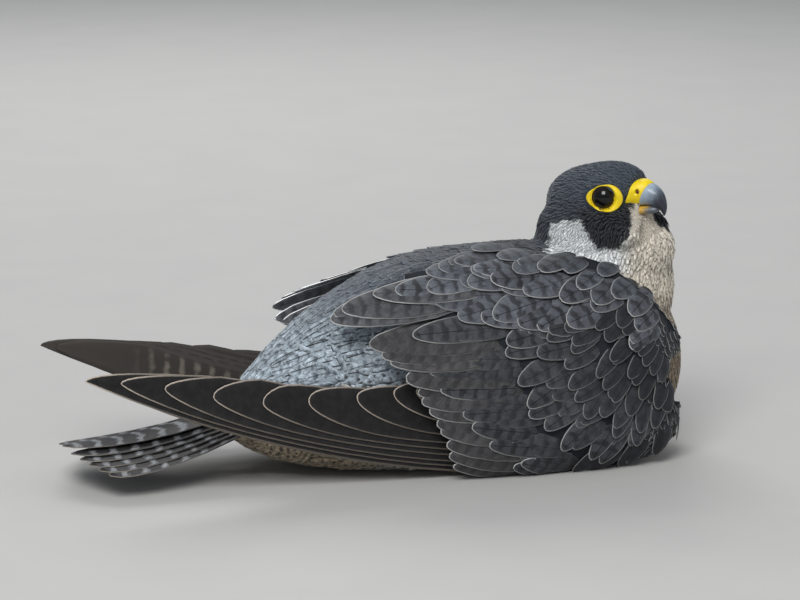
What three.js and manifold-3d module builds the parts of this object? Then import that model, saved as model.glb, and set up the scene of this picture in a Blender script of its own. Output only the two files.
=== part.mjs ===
// A peregrine falcon at life size, sitting low on the ground with half-dropped wings.
// It faces +X, with its head turned to its right (-Y). Millimetres, +Z up.
// The origin is on the ground, under the middle of the belly.

import * as THREE from 'three';
import { mergeVertices } from 'three/addons/utils/BufferGeometryUtils.js';
import Module from 'manifold-3d';

const wasm = await Module();
wasm.setup();

const RIGHT = -1;
const LEFT = 1;
const GAP = 0.3;

// Driving dimensions of the bird
const TAIL_TIP_X = -263;
const WING_TIP_X = -261;
const VANE_THICKNESS = 0.6;
const TAIL_VANE_THICKNESS = 0.7;
const ROOT_DEPTH = 2.4;
const ROOT_SHARE = 0.3;
const EYE_RADIUS = 8.2;
const HEAD_CENTRE = new THREE.Vector3(75.5, -8, 152.5);
const HEAD_YAW = THREE.MathUtils.degToRad(-53);
const HEAD_PITCH = THREE.MathUtils.degToRad(3);

// Where the trunk is divided
const BREAST_CUT_X = 46;
const RUMP_CUT_X = -92;
const BACK_CUT_Z = 68;
const TAIL_PLATE = { fromX: -92, fromZ: 55, toX: -166, toZ: 35, thickness: 9 };

// Sections of the trunk along X: its top, its bottom and half its width
const TRUNK = [
  { x: -168, top: 43, bottom: 24, half: 12 },
  { x: -150, top: 58, bottom: 14, half: 22 },
  { x: -120, top: 86, bottom: 4, half: 35 },
  { x: -90, top: 107, bottom: -2, half: 44 },
  { x: -50, top: 125, bottom: -6, half: 53 },
  { x: 0, top: 130, bottom: -8, half: 58 },
  { x: 50, top: 129, bottom: -7, half: 59 },
  { x: 90, top: 122, bottom: 0, half: 55 },
  { x: 131, top: 100, bottom: 14, half: 44 },
];
const TRUNK_FRONT_X = 130;
const TRUNK_REAR_X = -168;

// Sections of the surface that the closed wings make round the trunk
const WING_SHELL = [
  { x: -130, top: 112, bottom: 2, half: 58 },
  { x: -90, top: 121, bottom: -2, half: 63 },
  { x: -50, top: 131, bottom: -5, half: 70 },
  { x: 0, top: 135, bottom: -7, half: 77 },
  { x: 50, top: 134, bottom: -6, half: 78 },
  { x: 90, top: 124, bottom: -4, half: 71 },
  { x: 106, top: 112, bottom: 2, half: 62 },
  { x: 115, top: 96, bottom: 16, half: 48 },
];
const WING_FRONT_X = 114;
const WING_REAR_X = -60;
const LEFT_WING_DROP = 9;

// Cubic curve through the sections' values for one measure
function along(sections, measure) {
  const xs = sections.map((s) => s.x);
  const ys = sections.map((s) => s[measure]);
  const last = xs.length - 1;
  const slope = (k) => {
    const a = Math.max(k - 1, 0);
    const b = Math.min(k + 1, last);
    return (ys[b] - ys[a]) / (xs[b] - xs[a]);
  };
  return (x) => {
    const at = THREE.MathUtils.clamp(x, xs[0], xs[last]);
    let k = 0;
    while (k < last - 1 && at > xs[k + 1]) k += 1;
    const span = xs[k + 1] - xs[k];
    const t = (at - xs[k]) / span;
    const rise = (ys[k + 1] - ys[k]) * t * t * (3 - 2 * t);
    const lead = slope(k) * span * t * (1 - t) * (1 - t);
    const trail = slope(k + 1) * span * t * t * (t - 1);
    return ys[k] + rise + lead + trail;
  };
}

// A surface round the X axis: turn is 0 at the top, 90 at the side and 180 at the bottom
function roundSurface(sections, upperPower, lowerPower) {
  const top = along(sections, 'top');
  const bottom = along(sections, 'bottom');
  const half = along(sections, 'half');
  const middle = (x) => bottom(x) + (top(x) - bottom(x)) * 0.46;
  const point = (x, turn, side, shrink = 1, grow = 0) => {
    const angle = THREE.MathUtils.degToRad(turn);
    const power = turn < 90 ? upperPower : lowerPower;
    const up = Math.sign(Math.cos(angle)) * Math.abs(Math.cos(angle)) ** (2 / power);
    const out = Math.abs(Math.sin(angle)) ** (2 / power);
    const reach = turn < 90 ? top(x) - middle(x) : middle(x) - bottom(x);
    const y = side * (half(x) * shrink + grow) * out;
    return new THREE.Vector3(x, y, middle(x) + (reach * shrink + grow) * up);
  };
  const turnAt = (x, z) => {
    const above = z > middle(x);
    const reach = above ? top(x) - middle(x) : middle(x) - bottom(x);
    const power = above ? upperPower : lowerPower;
    const share = Math.min(Math.abs(z - middle(x)) / reach, 1) ** (power / 2);
    const angle = THREE.MathUtils.radToDeg(Math.acos(share));
    return above ? angle : 180 - angle;
  };
  return { point, turnAt };
}

const trunkSurface = roundSurface(TRUNK, 2.4, 3);
const leftShell = WING_SHELL.map((section) => ({ ...section, top: section.top - LEFT_WING_DROP }));
const wingSurfaces = { [RIGHT]: roundSurface(WING_SHELL, 2.5, 4), [LEFT]: roundSurface(leftShell, 2.5, 4) };

// A closed three.js geometry as a solid, its faces turned outwards
function solid(geometry) {
  const bare = new THREE.BufferGeometry();
  bare.setAttribute('position', geometry.getAttribute('position').clone());
  bare.setIndex(geometry.index ? geometry.index.clone() : null);
  const merged = mergeVertices(bare, 1e-4);
  const places = merged.attributes.position.array;
  const faces = new Uint32Array(merged.index.array);
  let volume = 0;
  const corner = (i) => new THREE.Vector3().fromArray(places, 3 * faces[i]);
  for (let i = 0; i < faces.length; i += 3) {
    volume += corner(i).dot(corner(i + 1).cross(corner(i + 2)));
  }
  if (volume < 0) {
    for (let i = 0; i < faces.length; i += 3) {
      [faces[i + 1], faces[i + 2]] = [faces[i + 2], faces[i + 1]];
    }
  }
  const mesh = new wasm.Mesh({ numProp: 3, vertProperties: new Float32Array(places), triVerts: faces });
  return new wasm.Manifold(mesh);
}

// A geometry with each vertex moved to the place that the function gives
function moved(geometry, place) {
  const position = geometry.getAttribute('position');
  const vertex = new THREE.Vector3();
  for (let i = 0; i < position.count; i += 1) {
    vertex.fromBufferAttribute(position, i);
    const made = place(vertex);
    position.setXYZ(i, made.x, made.y, made.z);
  }
  return geometry;
}

const joined = (solids) => wasm.Manifold.union(solids);
const largest = (made) => made.decompose().reduce((a, b) => (a.volume() > b.volume() ? a : b));

const group = new THREE.Group();

function addNode(name, made, finish) {
  const { vertProperties, triVerts } = largest(made.simplify(0.06)).getMesh();
  const geometry = new THREE.BufferGeometry();
  geometry.setAttribute('position', new THREE.BufferAttribute(vertProperties, 3));
  geometry.setIndex(new THREE.BufferAttribute(triVerts, 1));
  geometry.computeVertexNormals();
  const node = new THREE.Mesh(geometry, finish);
  node.name = name;
  group.add(node);
}

const finish = (color, roughness = 0.8) => new THREE.MeshStandardMaterial({ color, roughness, metalness: 0 });
const SLATE = finish(0x4a5058);
const DARK = finish(0x24262a);
const BLUE_GREY = finish(0x74808c);
const BUFF = finish(0xb9a88c);
const WHITE = finish(0xd8d6ce);
const YELLOW = finish(0xe8b414, 0.5);
const HORN = finish(0x4c5866, 0.35);
const EYE = finish(0x120d0a, 0.1);

// A long body of round sections along a curve, closed at both ends
function limb(points, radii, sides, steps, flatten = 1) {
  const curve = new THREE.CatmullRomCurve3(points);
  const shape = new THREE.CylinderGeometry(1, 1, 1, sides, steps);
  return solid(moved(shape, (v) => {
    const t = 0.5 - v.y;
    const centre = curve.getPoint(t);
    const way = curve.getTangent(t);
    const across = new THREE.Vector3(0, 0, 1).cross(way).normalize();
    const over = way.clone().cross(across);
    const place = t * (radii.length - 1);
    const k = Math.min(Math.floor(place), radii.length - 2);
    const radius = THREE.MathUtils.lerp(radii[k], radii[k + 1], place - k);
    return centre.addScaledVector(across, v.x * radius).addScaledVector(over, v.z * radius * flatten);
  }));
}

// A ball pulled into a boxier or rounder form
function ball(centre, halves, power = 2, across = 24, down = 16) {
  return moved(new THREE.SphereGeometry(1, across, down), (v) => {
    const norm = (Math.abs(v.x) ** power + Math.abs(v.y) ** power + Math.abs(v.z) ** power) ** (1 / power);
    return v.divideScalar(norm).multiply(halves).add(centre);
  });
}

// How wide a vane is at a share of its length: narrow at the root, full, then round at the tip
function vaneShare(t, broadest = 0.55) {
  if (t < broadest) return THREE.MathUtils.lerp(0.45, 1, Math.sin((t / broadest) * Math.PI / 2));
  return Math.sqrt(Math.max(1 - ((t - broadest) / (1 - broadest)) ** 2.6, 0.03));
}

// A vane as a thin plate: place(t) gives its middle, the way across it, its normal, and
// how far its two webs reach, against the way across and along it
function vane(place, thickness, stops) {
  const corners = [];
  for (const t of stops) {
    const { middle, across, normal, webs } = place(t);
    for (const [s, n] of [[-1, 1], [1, 1], [1, -1], [-1, -1]]) {
      const corner = middle.clone().addScaledVector(across, s < 0 ? -webs[0] : webs[1]);
      corners.push(...corner.addScaledVector(normal, (n * thickness) / 2).toArray());
    }
  }
  const faces = [];
  const quad = (a, b, c, d) => faces.push(a, b, c, a, c, d);
  const spans = stops.length - 1;
  for (let k = 0; k < spans; k += 1) {
    const a = 4 * k;
    const b = a + 4;
    faces.push(a, b, b + 1, a, b + 1, a + 1);
    faces.push(a + 3, b + 2, b + 3, a + 3, a + 2, b + 2);
    quad(a + 1, b + 1, b + 2, a + 2);
    quad(a + 3, b + 3, b, a);
  }
  const end = 4 * spans;
  quad(0, 1, 2, 3);
  quad(end + 3, end + 2, end + 1, end);
  const geometry = new THREE.BufferGeometry();
  geometry.setAttribute('position', new THREE.Float32BufferAttribute(corners, 3));
  geometry.setIndex(faces);
  return solid(geometry);
}

// Draws that repeat from one seed
function dice(seed) {
  let state = seed;
  return () => {
    state = (state * 1664525 + 1013904223) % 4294967296;
    return state / 4294967296 - 0.5;
  };
}

// Trunk

const trunkMiddleX = (TRUNK_FRONT_X + TRUNK_REAR_X) / 2;
const trunkHalfLength = (TRUNK_FRONT_X - TRUNK_REAR_X) / 2;

function trunkForm(grow) {
  const shape = new THREE.SphereGeometry(1, 24, 18);
  return solid(moved(shape, (v) => {
    const share = THREE.MathUtils.clamp(v.y, -1, 1);
    const x = trunkMiddleX + (trunkHalfLength + grow) * share;
    const shrink = Math.sqrt(Math.max(1 - Math.abs(share) ** (share > 0 ? 7 : 14), 0));
    if (shrink < 1e-3) return trunkSurface.point(x, 90, 1, 0);
    const side = v.x < 0 ? RIGHT : LEFT;
    const turn = THREE.MathUtils.radToDeg(Math.acos(THREE.MathUtils.clamp(v.z / Math.hypot(v.x, v.z), -1, 1)));
    return trunkSurface.point(x, turn, side, shrink, grow);
  }));
}

// Hollows under the breast feathers, one round each folded foot
const FOOT_Y = 25;
function footHollows(grow) {
  const halves = new THREE.Vector3(47 + grow, 19 + grow, 18 + grow);
  const centre = (side) => new THREE.Vector3(75, side * FOOT_Y, 0);
  return joined([RIGHT, LEFT].map((side) => solid(ball(centre(side), halves, 2.4, 14, 10))));
}

const trunk = trunkForm(0).trimByPlane([0, 0, 1], 0).subtract(footHollows(0));
const trunkClearance = trunkForm(GAP).subtract(footHollows(-GAP));

const isBelow = (made, normal, offset) => made.trimByPlane(normal.map((n) => -n), -offset);
const isAbove = (made, normal, offset) => made.trimByPlane(normal, offset);
const ALONG = [1, 0, 0];
const UP = [0, 0, 1];

const breast = isAbove(trunk, ALONG, BREAST_CUT_X + GAP / 2);
const middlePart = isBelow(isAbove(trunk, ALONG, RUMP_CUT_X + GAP / 2), ALONG, BREAST_CUT_X - GAP / 2);
const rearPart = isBelow(trunk, ALONG, RUMP_CUT_X - GAP / 2);

// The tail's base lies in a flat slot between the rump and the feathers under the tail
const plateRun = new THREE.Vector2(TAIL_PLATE.toX - TAIL_PLATE.fromX, TAIL_PLATE.toZ - TAIL_PLATE.fromZ);
const plateSlope = plateRun.y / plateRun.x;
const plateNormal = new THREE.Vector3(-plateSlope, 0, 1).normalize().toArray();
const plateOffset = plateNormal[0] * TAIL_PLATE.fromX + plateNormal[2] * TAIL_PLATE.fromZ;
const rump = isAbove(rearPart, plateNormal, plateOffset + TAIL_PLATE.thickness / 2 + GAP);
const vent = isBelow(rearPart, plateNormal, plateOffset - TAIL_PLATE.thickness / 2 - GAP - 1.4);

// Tail: twelve vanes, the middle pair on top, that spread and level out above the ground

const TAIL_PAIRS = 6;
const TAIL_STEP = 1.1;
const TAIL_LEVELLING = 0.0015;
const tailRootX = -98;
const tailHeightAt = (x) => {
  const straight = TAIL_PLATE.fromZ + plateSlope * (x - TAIL_PLATE.fromX);
  const past = Math.max(TAIL_PLATE.toX - x, 0);
  return straight + past * past * TAIL_LEVELLING;
};

function tailVane(side, pair) {
  const length = (tailRootX - TAIL_TIP_X) * (1 - 0.018 * pair);
  const spread = THREE.MathUtils.degToRad(side * (1.2 + 2.5 * pair));
  const drop = TAIL_STEP * (pair === 0 && side === RIGHT ? -1 : pair);
  const place = (t) => {
    const reach = t * length;
    const x = tailRootX - reach * Math.cos(spread);
    const y = side * (1.5 + 1.1 * pair) + reach * Math.sin(spread);
    const roof = 0.1 * Math.abs(y) * t;
    const middle = new THREE.Vector3(x, y, tailHeightAt(x) + 1.9 - drop - roof);
    const across = new THREE.Vector3(0, side, -0.05 * t * pair).normalize();
    const outer = (12.5 - 0.25 * pair) * vaneShare(t);
    const inner = pair === 0 ? outer : Math.min(outer, Math.abs(y) - 0.2);
    return { middle, across, webs: [inner, outer], normal: new THREE.Vector3(-plateSlope, 0, 1).normalize() };
  };
  return vane(place, TAIL_VANE_THICKNESS, [0, 0.35, 0.7, 0.9, 1]);
}

const tailBaseHalf = { x: 34, y: 17, z: TAIL_PLATE.thickness / 2 };
const tailBaseX = -127;
const tailBase = solid(moved(new THREE.BoxGeometry(2, 2, 2, 1, 1, 1), (v) => {
  const x = tailBaseX + v.x * tailBaseHalf.x;
  const taper = v.x < 0 ? 1 : 0.7;
  return new THREE.Vector3(x, v.y * tailBaseHalf.y * taper, tailHeightAt(x) + v.z * tailBaseHalf.z);
}));
const tailVanes = [];
for (const side of [RIGHT, LEFT]) {
  for (let pair = 0; pair < TAIL_PAIRS; pair += 1) tailVanes.push(tailVane(side, pair));
}
let tail = joined([tailBase, ...tailVanes]);
tail = isBelow(tail, ALONG, RUMP_CUT_X - GAP - 0.2);

// Neck and ruff, between the shoulders and the head

const NECK_FORMS = [
  { at: [79, -3, 102], halves: [44, 41, 44], power: 2.25, across: 20, down: 14 },
  { at: [94, -20, 126], halves: [25, 24, 22], power: 2, across: 16, down: 10 },
  { at: [60, 2, 134], halves: [22, 22, 24], power: 2, across: 14, down: 9 },
];
const neckForm = (grow) => joined(NECK_FORMS.map(({ at, halves, power, across, down }) => {
  const size = new THREE.Vector3(...halves).addScalar(grow);
  return solid(ball(new THREE.Vector3(...at), size, power, across, down));
}));

// Head, in a frame of its own: forward, left, up

const headTurn = new THREE.Matrix4().makeRotationFromEuler(new THREE.Euler(0, -HEAD_PITCH, HEAD_YAW, 'ZYX'));
const headPlace = headTurn.clone().setPosition(HEAD_CENTRE);
const inHead = (x, y, z) => new THREE.Vector3(x, y, z).applyMatrix4(headPlace);

// Round forms that the head blends: centre and half sizes, forward, left, up
const HEAD_FORMS = [
  { at: [-2, 0, 1], halves: [35, 22.5, 24] },
  { at: [12, 0, 14], halves: [22, 13, 13.5] },
  { at: [13, 0, 5], halves: [19, 13, 14] },
  { at: [22, 16, -13], halves: [18, 9, 11] },
  { at: [22, -16, -13], halves: [18, 9, 11] },
  { at: [13, 13, 11], halves: [14, 8, 8] },
  { at: [13, -13, 11], halves: [14, 8, 8] },
  { at: [4, 9, -12], halves: [19, 16, 18] },
  { at: [4, -9, -12], halves: [19, 16, 18] },
  { at: [15, 0, -14], halves: [19, 14, 13] },
];
const BLEND = 12;

function reachOf({ at, halves }, way) {
  let a = 0;
  let b = 0;
  let c = -1;
  way.toArray().forEach((d, i) => {
    a += (d / halves[i]) ** 2;
    b += (-d * at[i]) / halves[i] ** 2;
    c += (at[i] / halves[i]) ** 2;
  });
  const inside = b * b - a * c;
  return inside > 0 ? Math.max((-b + Math.sqrt(inside)) / a, 0) : 0;
}

function headForm(grow) {
  return solid(moved(new THREE.SphereGeometry(1, 24, 16), (v) => {
    const way = new THREE.Vector3(v.y, v.x, v.z).normalize();
    let sum = 0;
    for (const form of HEAD_FORMS) sum += reachOf(form, way) ** BLEND;
    const made = way.multiplyScalar(sum ** (1 / BLEND) + grow);
    return made.applyMatrix4(headPlace);
  }));
}

const EYE_AT = { forward: 12.5, out: 14.8, up: 7.5 };
const eyeCentre = (side) => inHead(EYE_AT.forward, side * EYE_AT.out, EYE_AT.up);

// The way that an eye looks: mostly sideways, a little forward
const eyeLook = (side) => new THREE.Vector3(0.34, side, 0.03).normalize().transformDirection(headTurn);

function facing(geometry, centre, look) {
  const turn = new THREE.Quaternion().setFromUnitVectors(new THREE.Vector3(0, 0, 1), look);
  return geometry.applyQuaternion(turn).translate(centre.x, centre.y, centre.z);
}

function eyeball(side, radius) {
  const shape = new THREE.SphereGeometry(radius, 14, 8).rotateX(Math.PI / 2);
  return solid(facing(shape, eyeCentre(side), eyeLook(side)));
}

// A raised ring of bare skin round the eye
function eyelid(side) {
  const ring = new THREE.TorusGeometry(EYE_RADIUS * 0.9, 1.4, 5, 14);
  return solid(facing(ring, eyeCentre(side).addScaledVector(eyeLook(side), EYE_RADIUS * 0.55), eyeLook(side)));
}

// Upper bill: sections square to its arched middle line, forward and up, with how far each leans
const UPPER_BILL = [
  { x: 33, z: 9.6, lean: 0, high: 7.1, half: 7.1 },
  { x: 37.4, z: 9, lean: 10, high: 6.7, half: 6.3 },
  { x: 41.4, z: 7.3, lean: 30, high: 5.5, half: 5.1 },
  { x: 44.4, z: 4.3, lean: 52, high: 4, half: 3.7 },
  { x: 46.2, z: 0.9, lean: 72, high: 2.4, half: 2.2 },
  { x: 46.9, z: -2.3, lean: 85, high: 1.1, half: 1 },
  { x: 46.9, z: -3.9, lean: 90, high: 0.4, half: 0.3 },
];

// Lower bill and cere: upright sections, forward, with their height and half width
const LOWER_BILL = [
  { x: 28, top: 1.6, bottom: -3.6, half: 6.8 },
  { x: 34, top: 1.7, bottom: -3.4, half: 5.8 },
  { x: 40, top: 1.4, bottom: -2.8, half: 4 },
  { x: 43, top: -0.4, bottom: -1.9, half: 2 },
];
const CERE = [
  { x: 21, top: 17.5, bottom: -1.5, half: 11.4 },
  { x: 26.6, top: 18.6, bottom: 0.2, half: 10 },
  { x: 31, top: 18.4, bottom: 1.6, half: 8.6 },
  { x: 34.6, top: 17.4, bottom: 2.4, half: 7.4 },
];

// An upright section in the terms of a leaning one
const upright = ({ x, top, bottom, half }) => ({ x, z: (top + bottom) / 2, lean: 0, high: (top - bottom) / 2, half });

// A beam through oval sections, grown on all sides
function sectionBeam(sections, grow = 0, sides = 12) {
  const last = sections.length - 1;
  const shape = new THREE.CylinderGeometry(1, 1, 1, sides, last);
  return solid(moved(shape, (v) => {
    const k = Math.round((0.5 - v.y) * last);
    const { x, z, lean, high, half } = sections[k];
    const end = (k === last ? grow : 0) - (k === 0 ? grow : 0);
    const tilt = THREE.MathUtils.degToRad(lean);
    const up = v.z * (high + grow);
    const forward = x + up * Math.sin(tilt) + end * Math.cos(tilt);
    return inHead(forward, v.x * (half + grow), z + up * Math.cos(tilt) - end * Math.sin(tilt));
  }));
}

const nostril = (side) => {
  const bore = new THREE.CylinderGeometry(1.35, 1.35, 6, 10).rotateX(Math.PI / 2);
  const centre = inHead(30.6, side * 8.4, 11.5);
  return solid(bore.applyMatrix4(headTurn).translate(centre.x, centre.y, centre.z));
};

const eyes = { right: eyeball(RIGHT, EYE_RADIUS), left: eyeball(LEFT, EYE_RADIUS) };
const sockets = joined([eyeball(RIGHT, EYE_RADIUS + GAP), eyeball(LEFT, EYE_RADIUS + GAP)]);

const lowerSections = LOWER_BILL.map(upright);
const cereSections = CERE.map(upright);
const upperBill = sectionBeam(UPPER_BILL);
const billClearance = sectionBeam(UPPER_BILL, GAP);
const lowerClearance = sectionBeam(lowerSections, GAP);
const cereClearance = sectionBeam(cereSections, GAP + 0.1);

const headFull = joined([headForm(0), eyelid(RIGHT), eyelid(LEFT)]);
const head = headFull.subtract(sockets).subtract(cereClearance).subtract(lowerClearance).subtract(billClearance);
const cere = sectionBeam(cereSections).subtract(billClearance).subtract(lowerClearance)
  .subtract(nostril(RIGHT)).subtract(nostril(LEFT));
const headClearance = joined([headForm(GAP), billClearance, lowerClearance, cereClearance]);
const neck = neckForm(0).subtract(headClearance).subtract(trunkClearance);
const neckClearance = neckForm(GAP);

// Legs: folded shanks, with the toes lying forward under the breast

const TOES = [
  { name: 'inner', spread: 26, length: 30, radius: 3.6 },
  { name: 'middle', spread: 3, length: 40, radius: 3.8 },
  { name: 'outer', spread: -22, length: 32, radius: 3.5 },
  { name: 'hind', spread: 158, length: 17, radius: 3.6 },
];
const FOOT_X = 62;
const CLAW_LENGTH = 13;
const TOE_HEIGHT = 3.3;

function toeLine(side, { spread, length }) {
  const turn = -side * THREE.MathUtils.degToRad(spread);
  const way = new THREE.Vector3(Math.cos(turn), Math.sin(turn), 0);
  const foot = new THREE.Vector3(FOOT_X, side * FOOT_Y, TOE_HEIGHT + 1);
  return { way, foot, tip: foot.clone().addScaledVector(way, length).setZ(TOE_HEIGHT - 0.3) };
}

function toe(side, kind) {
  const { way, foot, tip } = toeLine(side, kind);
  const knuckle = foot.clone().addScaledVector(way, kind.length * 0.55).setZ(TOE_HEIGHT + 2.2);
  const start = kind.radius * 1.15;
  const radii = [start, kind.radius, start * 0.92, kind.radius * 0.85];
  const past = tip.clone().addScaledVector(way, 1);
  return isBelow(limb([foot, knuckle, past], radii, 7, 3), way.toArray(), tip.dot(way));
}

function claw(side, kind) {
  const { way, tip } = toeLine(side, kind);
  const start = tip.clone().addScaledVector(way, -1);
  const arch = start.clone().addScaledVector(way, CLAW_LENGTH * 0.5).setZ(TOE_HEIGHT + 1.2);
  const end = start.clone().addScaledVector(way, CLAW_LENGTH * 0.92).setZ(0.6);
  return isAbove(limb([start, arch, end], [2.4, 2.1, 1.4, 0.4], 7, 3), way.toArray(), tip.dot(way) + GAP);
}

function leg(side) {
  const foot = new THREE.Vector3(FOOT_X, side * FOOT_Y, TOE_HEIGHT + 1.2);
  const shank = limb([
    foot,
    new THREE.Vector3(FOOT_X - 12, side * (FOOT_Y - 0.5), 8.5),
    new THREE.Vector3(FOOT_X - 26, side * (FOOT_Y - 1), 11),
  ], [5, 4, 4.2], 8, 3);
  const pad = solid(ball(foot, new THREE.Vector3(6.5, 6, 5.2), 2, 10, 6));
  return joined([shank, pad, ...TOES.map((kind) => toe(side, kind))])
    .subtract(trunkClearance)
    .trimByPlane(UP, 0);
}

// Wings

// The hand, which holds the primaries, lies behind the wing's body and under the secondaries
const HAND = { rearX: -50, frontX: -22.4, lowZ: 12, highZ: 60, y: 56, thickness: 9.4 };

// A point on the closed wing with its outward normal
function onWing(x, turn, side) {
  const { point } = wingSurfaces[side];
  const here = point(x, turn, side);
  const ahead = point(x + 0.5, turn, side).sub(here);
  const round = point(x, turn + 0.5, side).sub(here);
  const normal = ahead.cross(round).normalize();
  if (normal.y * side < 0) normal.negate();
  return { point: here, normal };
}

const CORE_STATIONS = 9;
const CORE_ARC = 9;
const frontShare = (x) => Math.sqrt(Math.max(1 - Math.max((x - 70) / (WING_FRONT_X - 70), 0) ** 3, 0.02));

// The top edge of the wing drops towards its front, where the neck and breast show
const coreTopTurn = (x) => 27 + 38 * THREE.MathUtils.smoothstep(x, 52, WING_FRONT_X);
const coreLowTurn = (x) => 148 - 24 * THREE.MathUtils.smoothstep(x, 70, WING_FRONT_X);

// Between the shoulder and the wrist the front edge is hollow, and the breast bulges into it
const FRONT_HOLLOW = { depth: 18, share: 0.38, spread: 0.14 };
const coreFrontX = (share) => {
  const away = (share - FRONT_HOLLOW.share) / FRONT_HOLLOW.spread;
  return WING_FRONT_X - FRONT_HOLLOW.depth * Math.exp(-away * away);
};

function wingCore(side) {
  const shape = new THREE.BoxGeometry(1, 1, 1, CORE_STATIONS, CORE_ARC, 1);
  return solid(moved(shape, (v) => {
    const share = v.y + 0.5;
    const low = THREE.MathUtils.smoothstep(share, 0.2, 0.45);
    const rear = THREE.MathUtils.lerp(WING_REAR_X, HAND.frontX + GAP, low);
    const x = THREE.MathUtils.lerp(rear, coreFrontX(share), v.x + 0.5);
    const turn = THREE.MathUtils.lerp(coreTopTurn(x), coreLowTurn(x), share);
    const { point } = onWing(x, turn, side);
    if (v.z > 0) return point;
    const deep = trunkSurface.point(x, turn, side, 0.9 * frontShare(x));
    return deep;
  }));
}

// Rows of vanes on a closed wing, seen from its side: tips lie on a bent line from a over b to c.
// heading is the way that a vane points, in degrees: 180 is straight back and 270 straight down.
// The heights are those of the right wing, and the left wing's vanes lie where they do on it.
const ROWS = [
  { count: 7, a: [-86, 88], b: [-60, 54], c: [-42, 14], heading: [184, 180, 168], length: [78, 56], width: [24, 20],
    lift: 3.4, roll: 10 },
  { count: 3, a: [-110, 98], b: [-100, 105], c: [-82, 110], heading: [190, 187, 184], length: [88, 74],
    width: [25, 24], lift: 4.6, roll: 8 },
  { count: 7, a: [-62, 84], b: [-40, 46], c: [4, 9], heading: [184, 178, 162], length: [54, 44], width: [20, 17],
    lift: 3.6, roll: 8 },
  { count: 6, a: [-8, 68], b: [18, 28], c: [66, 17], heading: [190, 212, 246], length: [31, 27], width: [19, 17],
    lift: 3.2, roll: 7 },
  { count: 5, a: [16, 72], b: [46, 42], c: [84, 32], heading: [198, 224, 254], length: [27, 24], width: [18, 16],
    lift: 3.2, roll: 7 },
  { count: 6, a: [-60, 98], b: [-4, 92], c: [70, 84], heading: [188, 194, 214], length: [50, 28], width: [26, 19],
    lift: 3.8, roll: 4 },
  { count: 6, a: [-67, 110], b: [-4, 106], c: [66, 98], heading: [186, 192, 212], length: [46, 26], width: [26, 18],
    lift: 3.6, roll: 4 },
  { count: 4, a: [-42, 119], b: [0, 119], c: [48, 113], heading: [184, 190, 208], length: [38, 24], width: [23, 18],
    lift: 3.2, roll: 4 },
];

const bend = ([p, q, r], t) => p * (1 - t) * (1 - 2 * t) + 4 * q * t * (1 - t) + r * t * (2 * t - 1);
const ramp = ([p, q], t) => p + (q - p) * t;

// One vane from its root in the wing to its tip, over the wing's surface
function wingVane(side, row, t, draw) {
  const tip = [0, 1].map((i) => bend([row.a[i], row.b[i], row.c[i]], t));
  const heading = THREE.MathUtils.degToRad(bend(row.heading, t) + 3 * draw());
  const length = ramp(row.length, t) * (1 + 0.06 * draw());
  const root = [tip[0] - length * Math.cos(heading), tip[1] - length * Math.sin(heading)];
  const roll = THREE.MathUtils.degToRad(row.roll);
  const { turnAt } = wingSurfaces[RIGHT];
  const spot = (s) => {
    const x = THREE.MathUtils.lerp(root[0], tip[0], s);
    const z = THREE.MathUtils.lerp(root[1], tip[1], s);
    const { point, normal } = onWing(x, turnAt(x, z), side);
    const rooted = THREE.MathUtils.lerp(-ROOT_DEPTH, VANE_THICKNESS + 0.2, s / ROOT_SHARE);
    const lifted = THREE.MathUtils.lerp(VANE_THICKNESS + 0.2, row.lift, (s - ROOT_SHARE) / (1 - ROOT_SHARE));
    return point.addScaledVector(normal, s < ROOT_SHARE ? rooted : lifted);
  };
  const place = (s) => {
    const middle = spot(s);
    const way = spot(Math.min(s + 0.05, 1)).sub(spot(Math.min(s + 0.05, 1) - 0.1)).normalize();
    const { normal } = onWing(middle.x, wingSurfaces[side].turnAt(middle.x, middle.z), side);
    const across = normal.clone().cross(way).normalize();
    if (across.z > 0) across.negate();
    across.multiplyScalar(Math.cos(roll)).addScaledVector(normal, Math.sin(roll)).normalize();
    const web = (ramp(row.width, t) / 2) * vaneShare(s);
    return { middle, across, webs: [web, web], normal: across.clone().cross(way).normalize() };
  };
  const stops = length > 40 ? [0, ROOT_SHARE, 0.7, 0.92, 1] : [0, ROOT_SHARE, 0.84, 1];
  return vane(place, VANE_THICKNESS, stops);
}

function closedWing(side) {
  const draw = dice(side === RIGHT ? 11 : 23);
  const vanes = [];
  for (const row of ROWS) {
    for (let i = 0; i < row.count; i += 1) vanes.push(wingVane(side, row, i / (row.count - 1), draw));
  }
  return joined([wingCore(side), ...vanes])
    .subtract(trunkClearance)
    .subtract(neckClearance)
    .trimByPlane(UP, 0);
}

// Primaries: ten long vanes in a stack, the innermost outside, from the hand back to the wing tip.
// Their upper edges follow one line, and their lower edges fan out below it. Each has its tip's X
// and Z, and the Z at which its lower edge leaves the hand.
const PRIMARIES = [
  { tipX: -60, tipZ: 56, lowZ: 38 },
  { tipX: -74, tipZ: 56, lowZ: 33 },
  { tipX: -97, tipZ: 55, lowZ: 27 },
  { tipX: -127, tipZ: 55, lowZ: 22 },
  { tipX: -155, tipZ: 56, lowZ: 18 },
  { tipX: -185, tipZ: 62, lowZ: 14.5 },
  { tipX: -214, tipZ: 69, lowZ: 10.5 },
  { tipX: -240, tipZ: 74, lowZ: 7.5 },
  { tipX: WING_TIP_X, tipZ: 76.5, lowZ: 4.6 },
  { tipX: WING_TIP_X + 9, tipZ: 75, lowZ: 4 },
];
const BLADE_LEAN = 0.12;
const BLADE_SPLAY = 0.055;
const BLADE_WIDTH = 28;
const STACK_STEP = 0.95;
const LEFT_BLADE_DROP = 4;
const UPPER_NOSE = 42;
const LOWER_NOSE = 58;
const FAN_START_X = -37.6;

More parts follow.
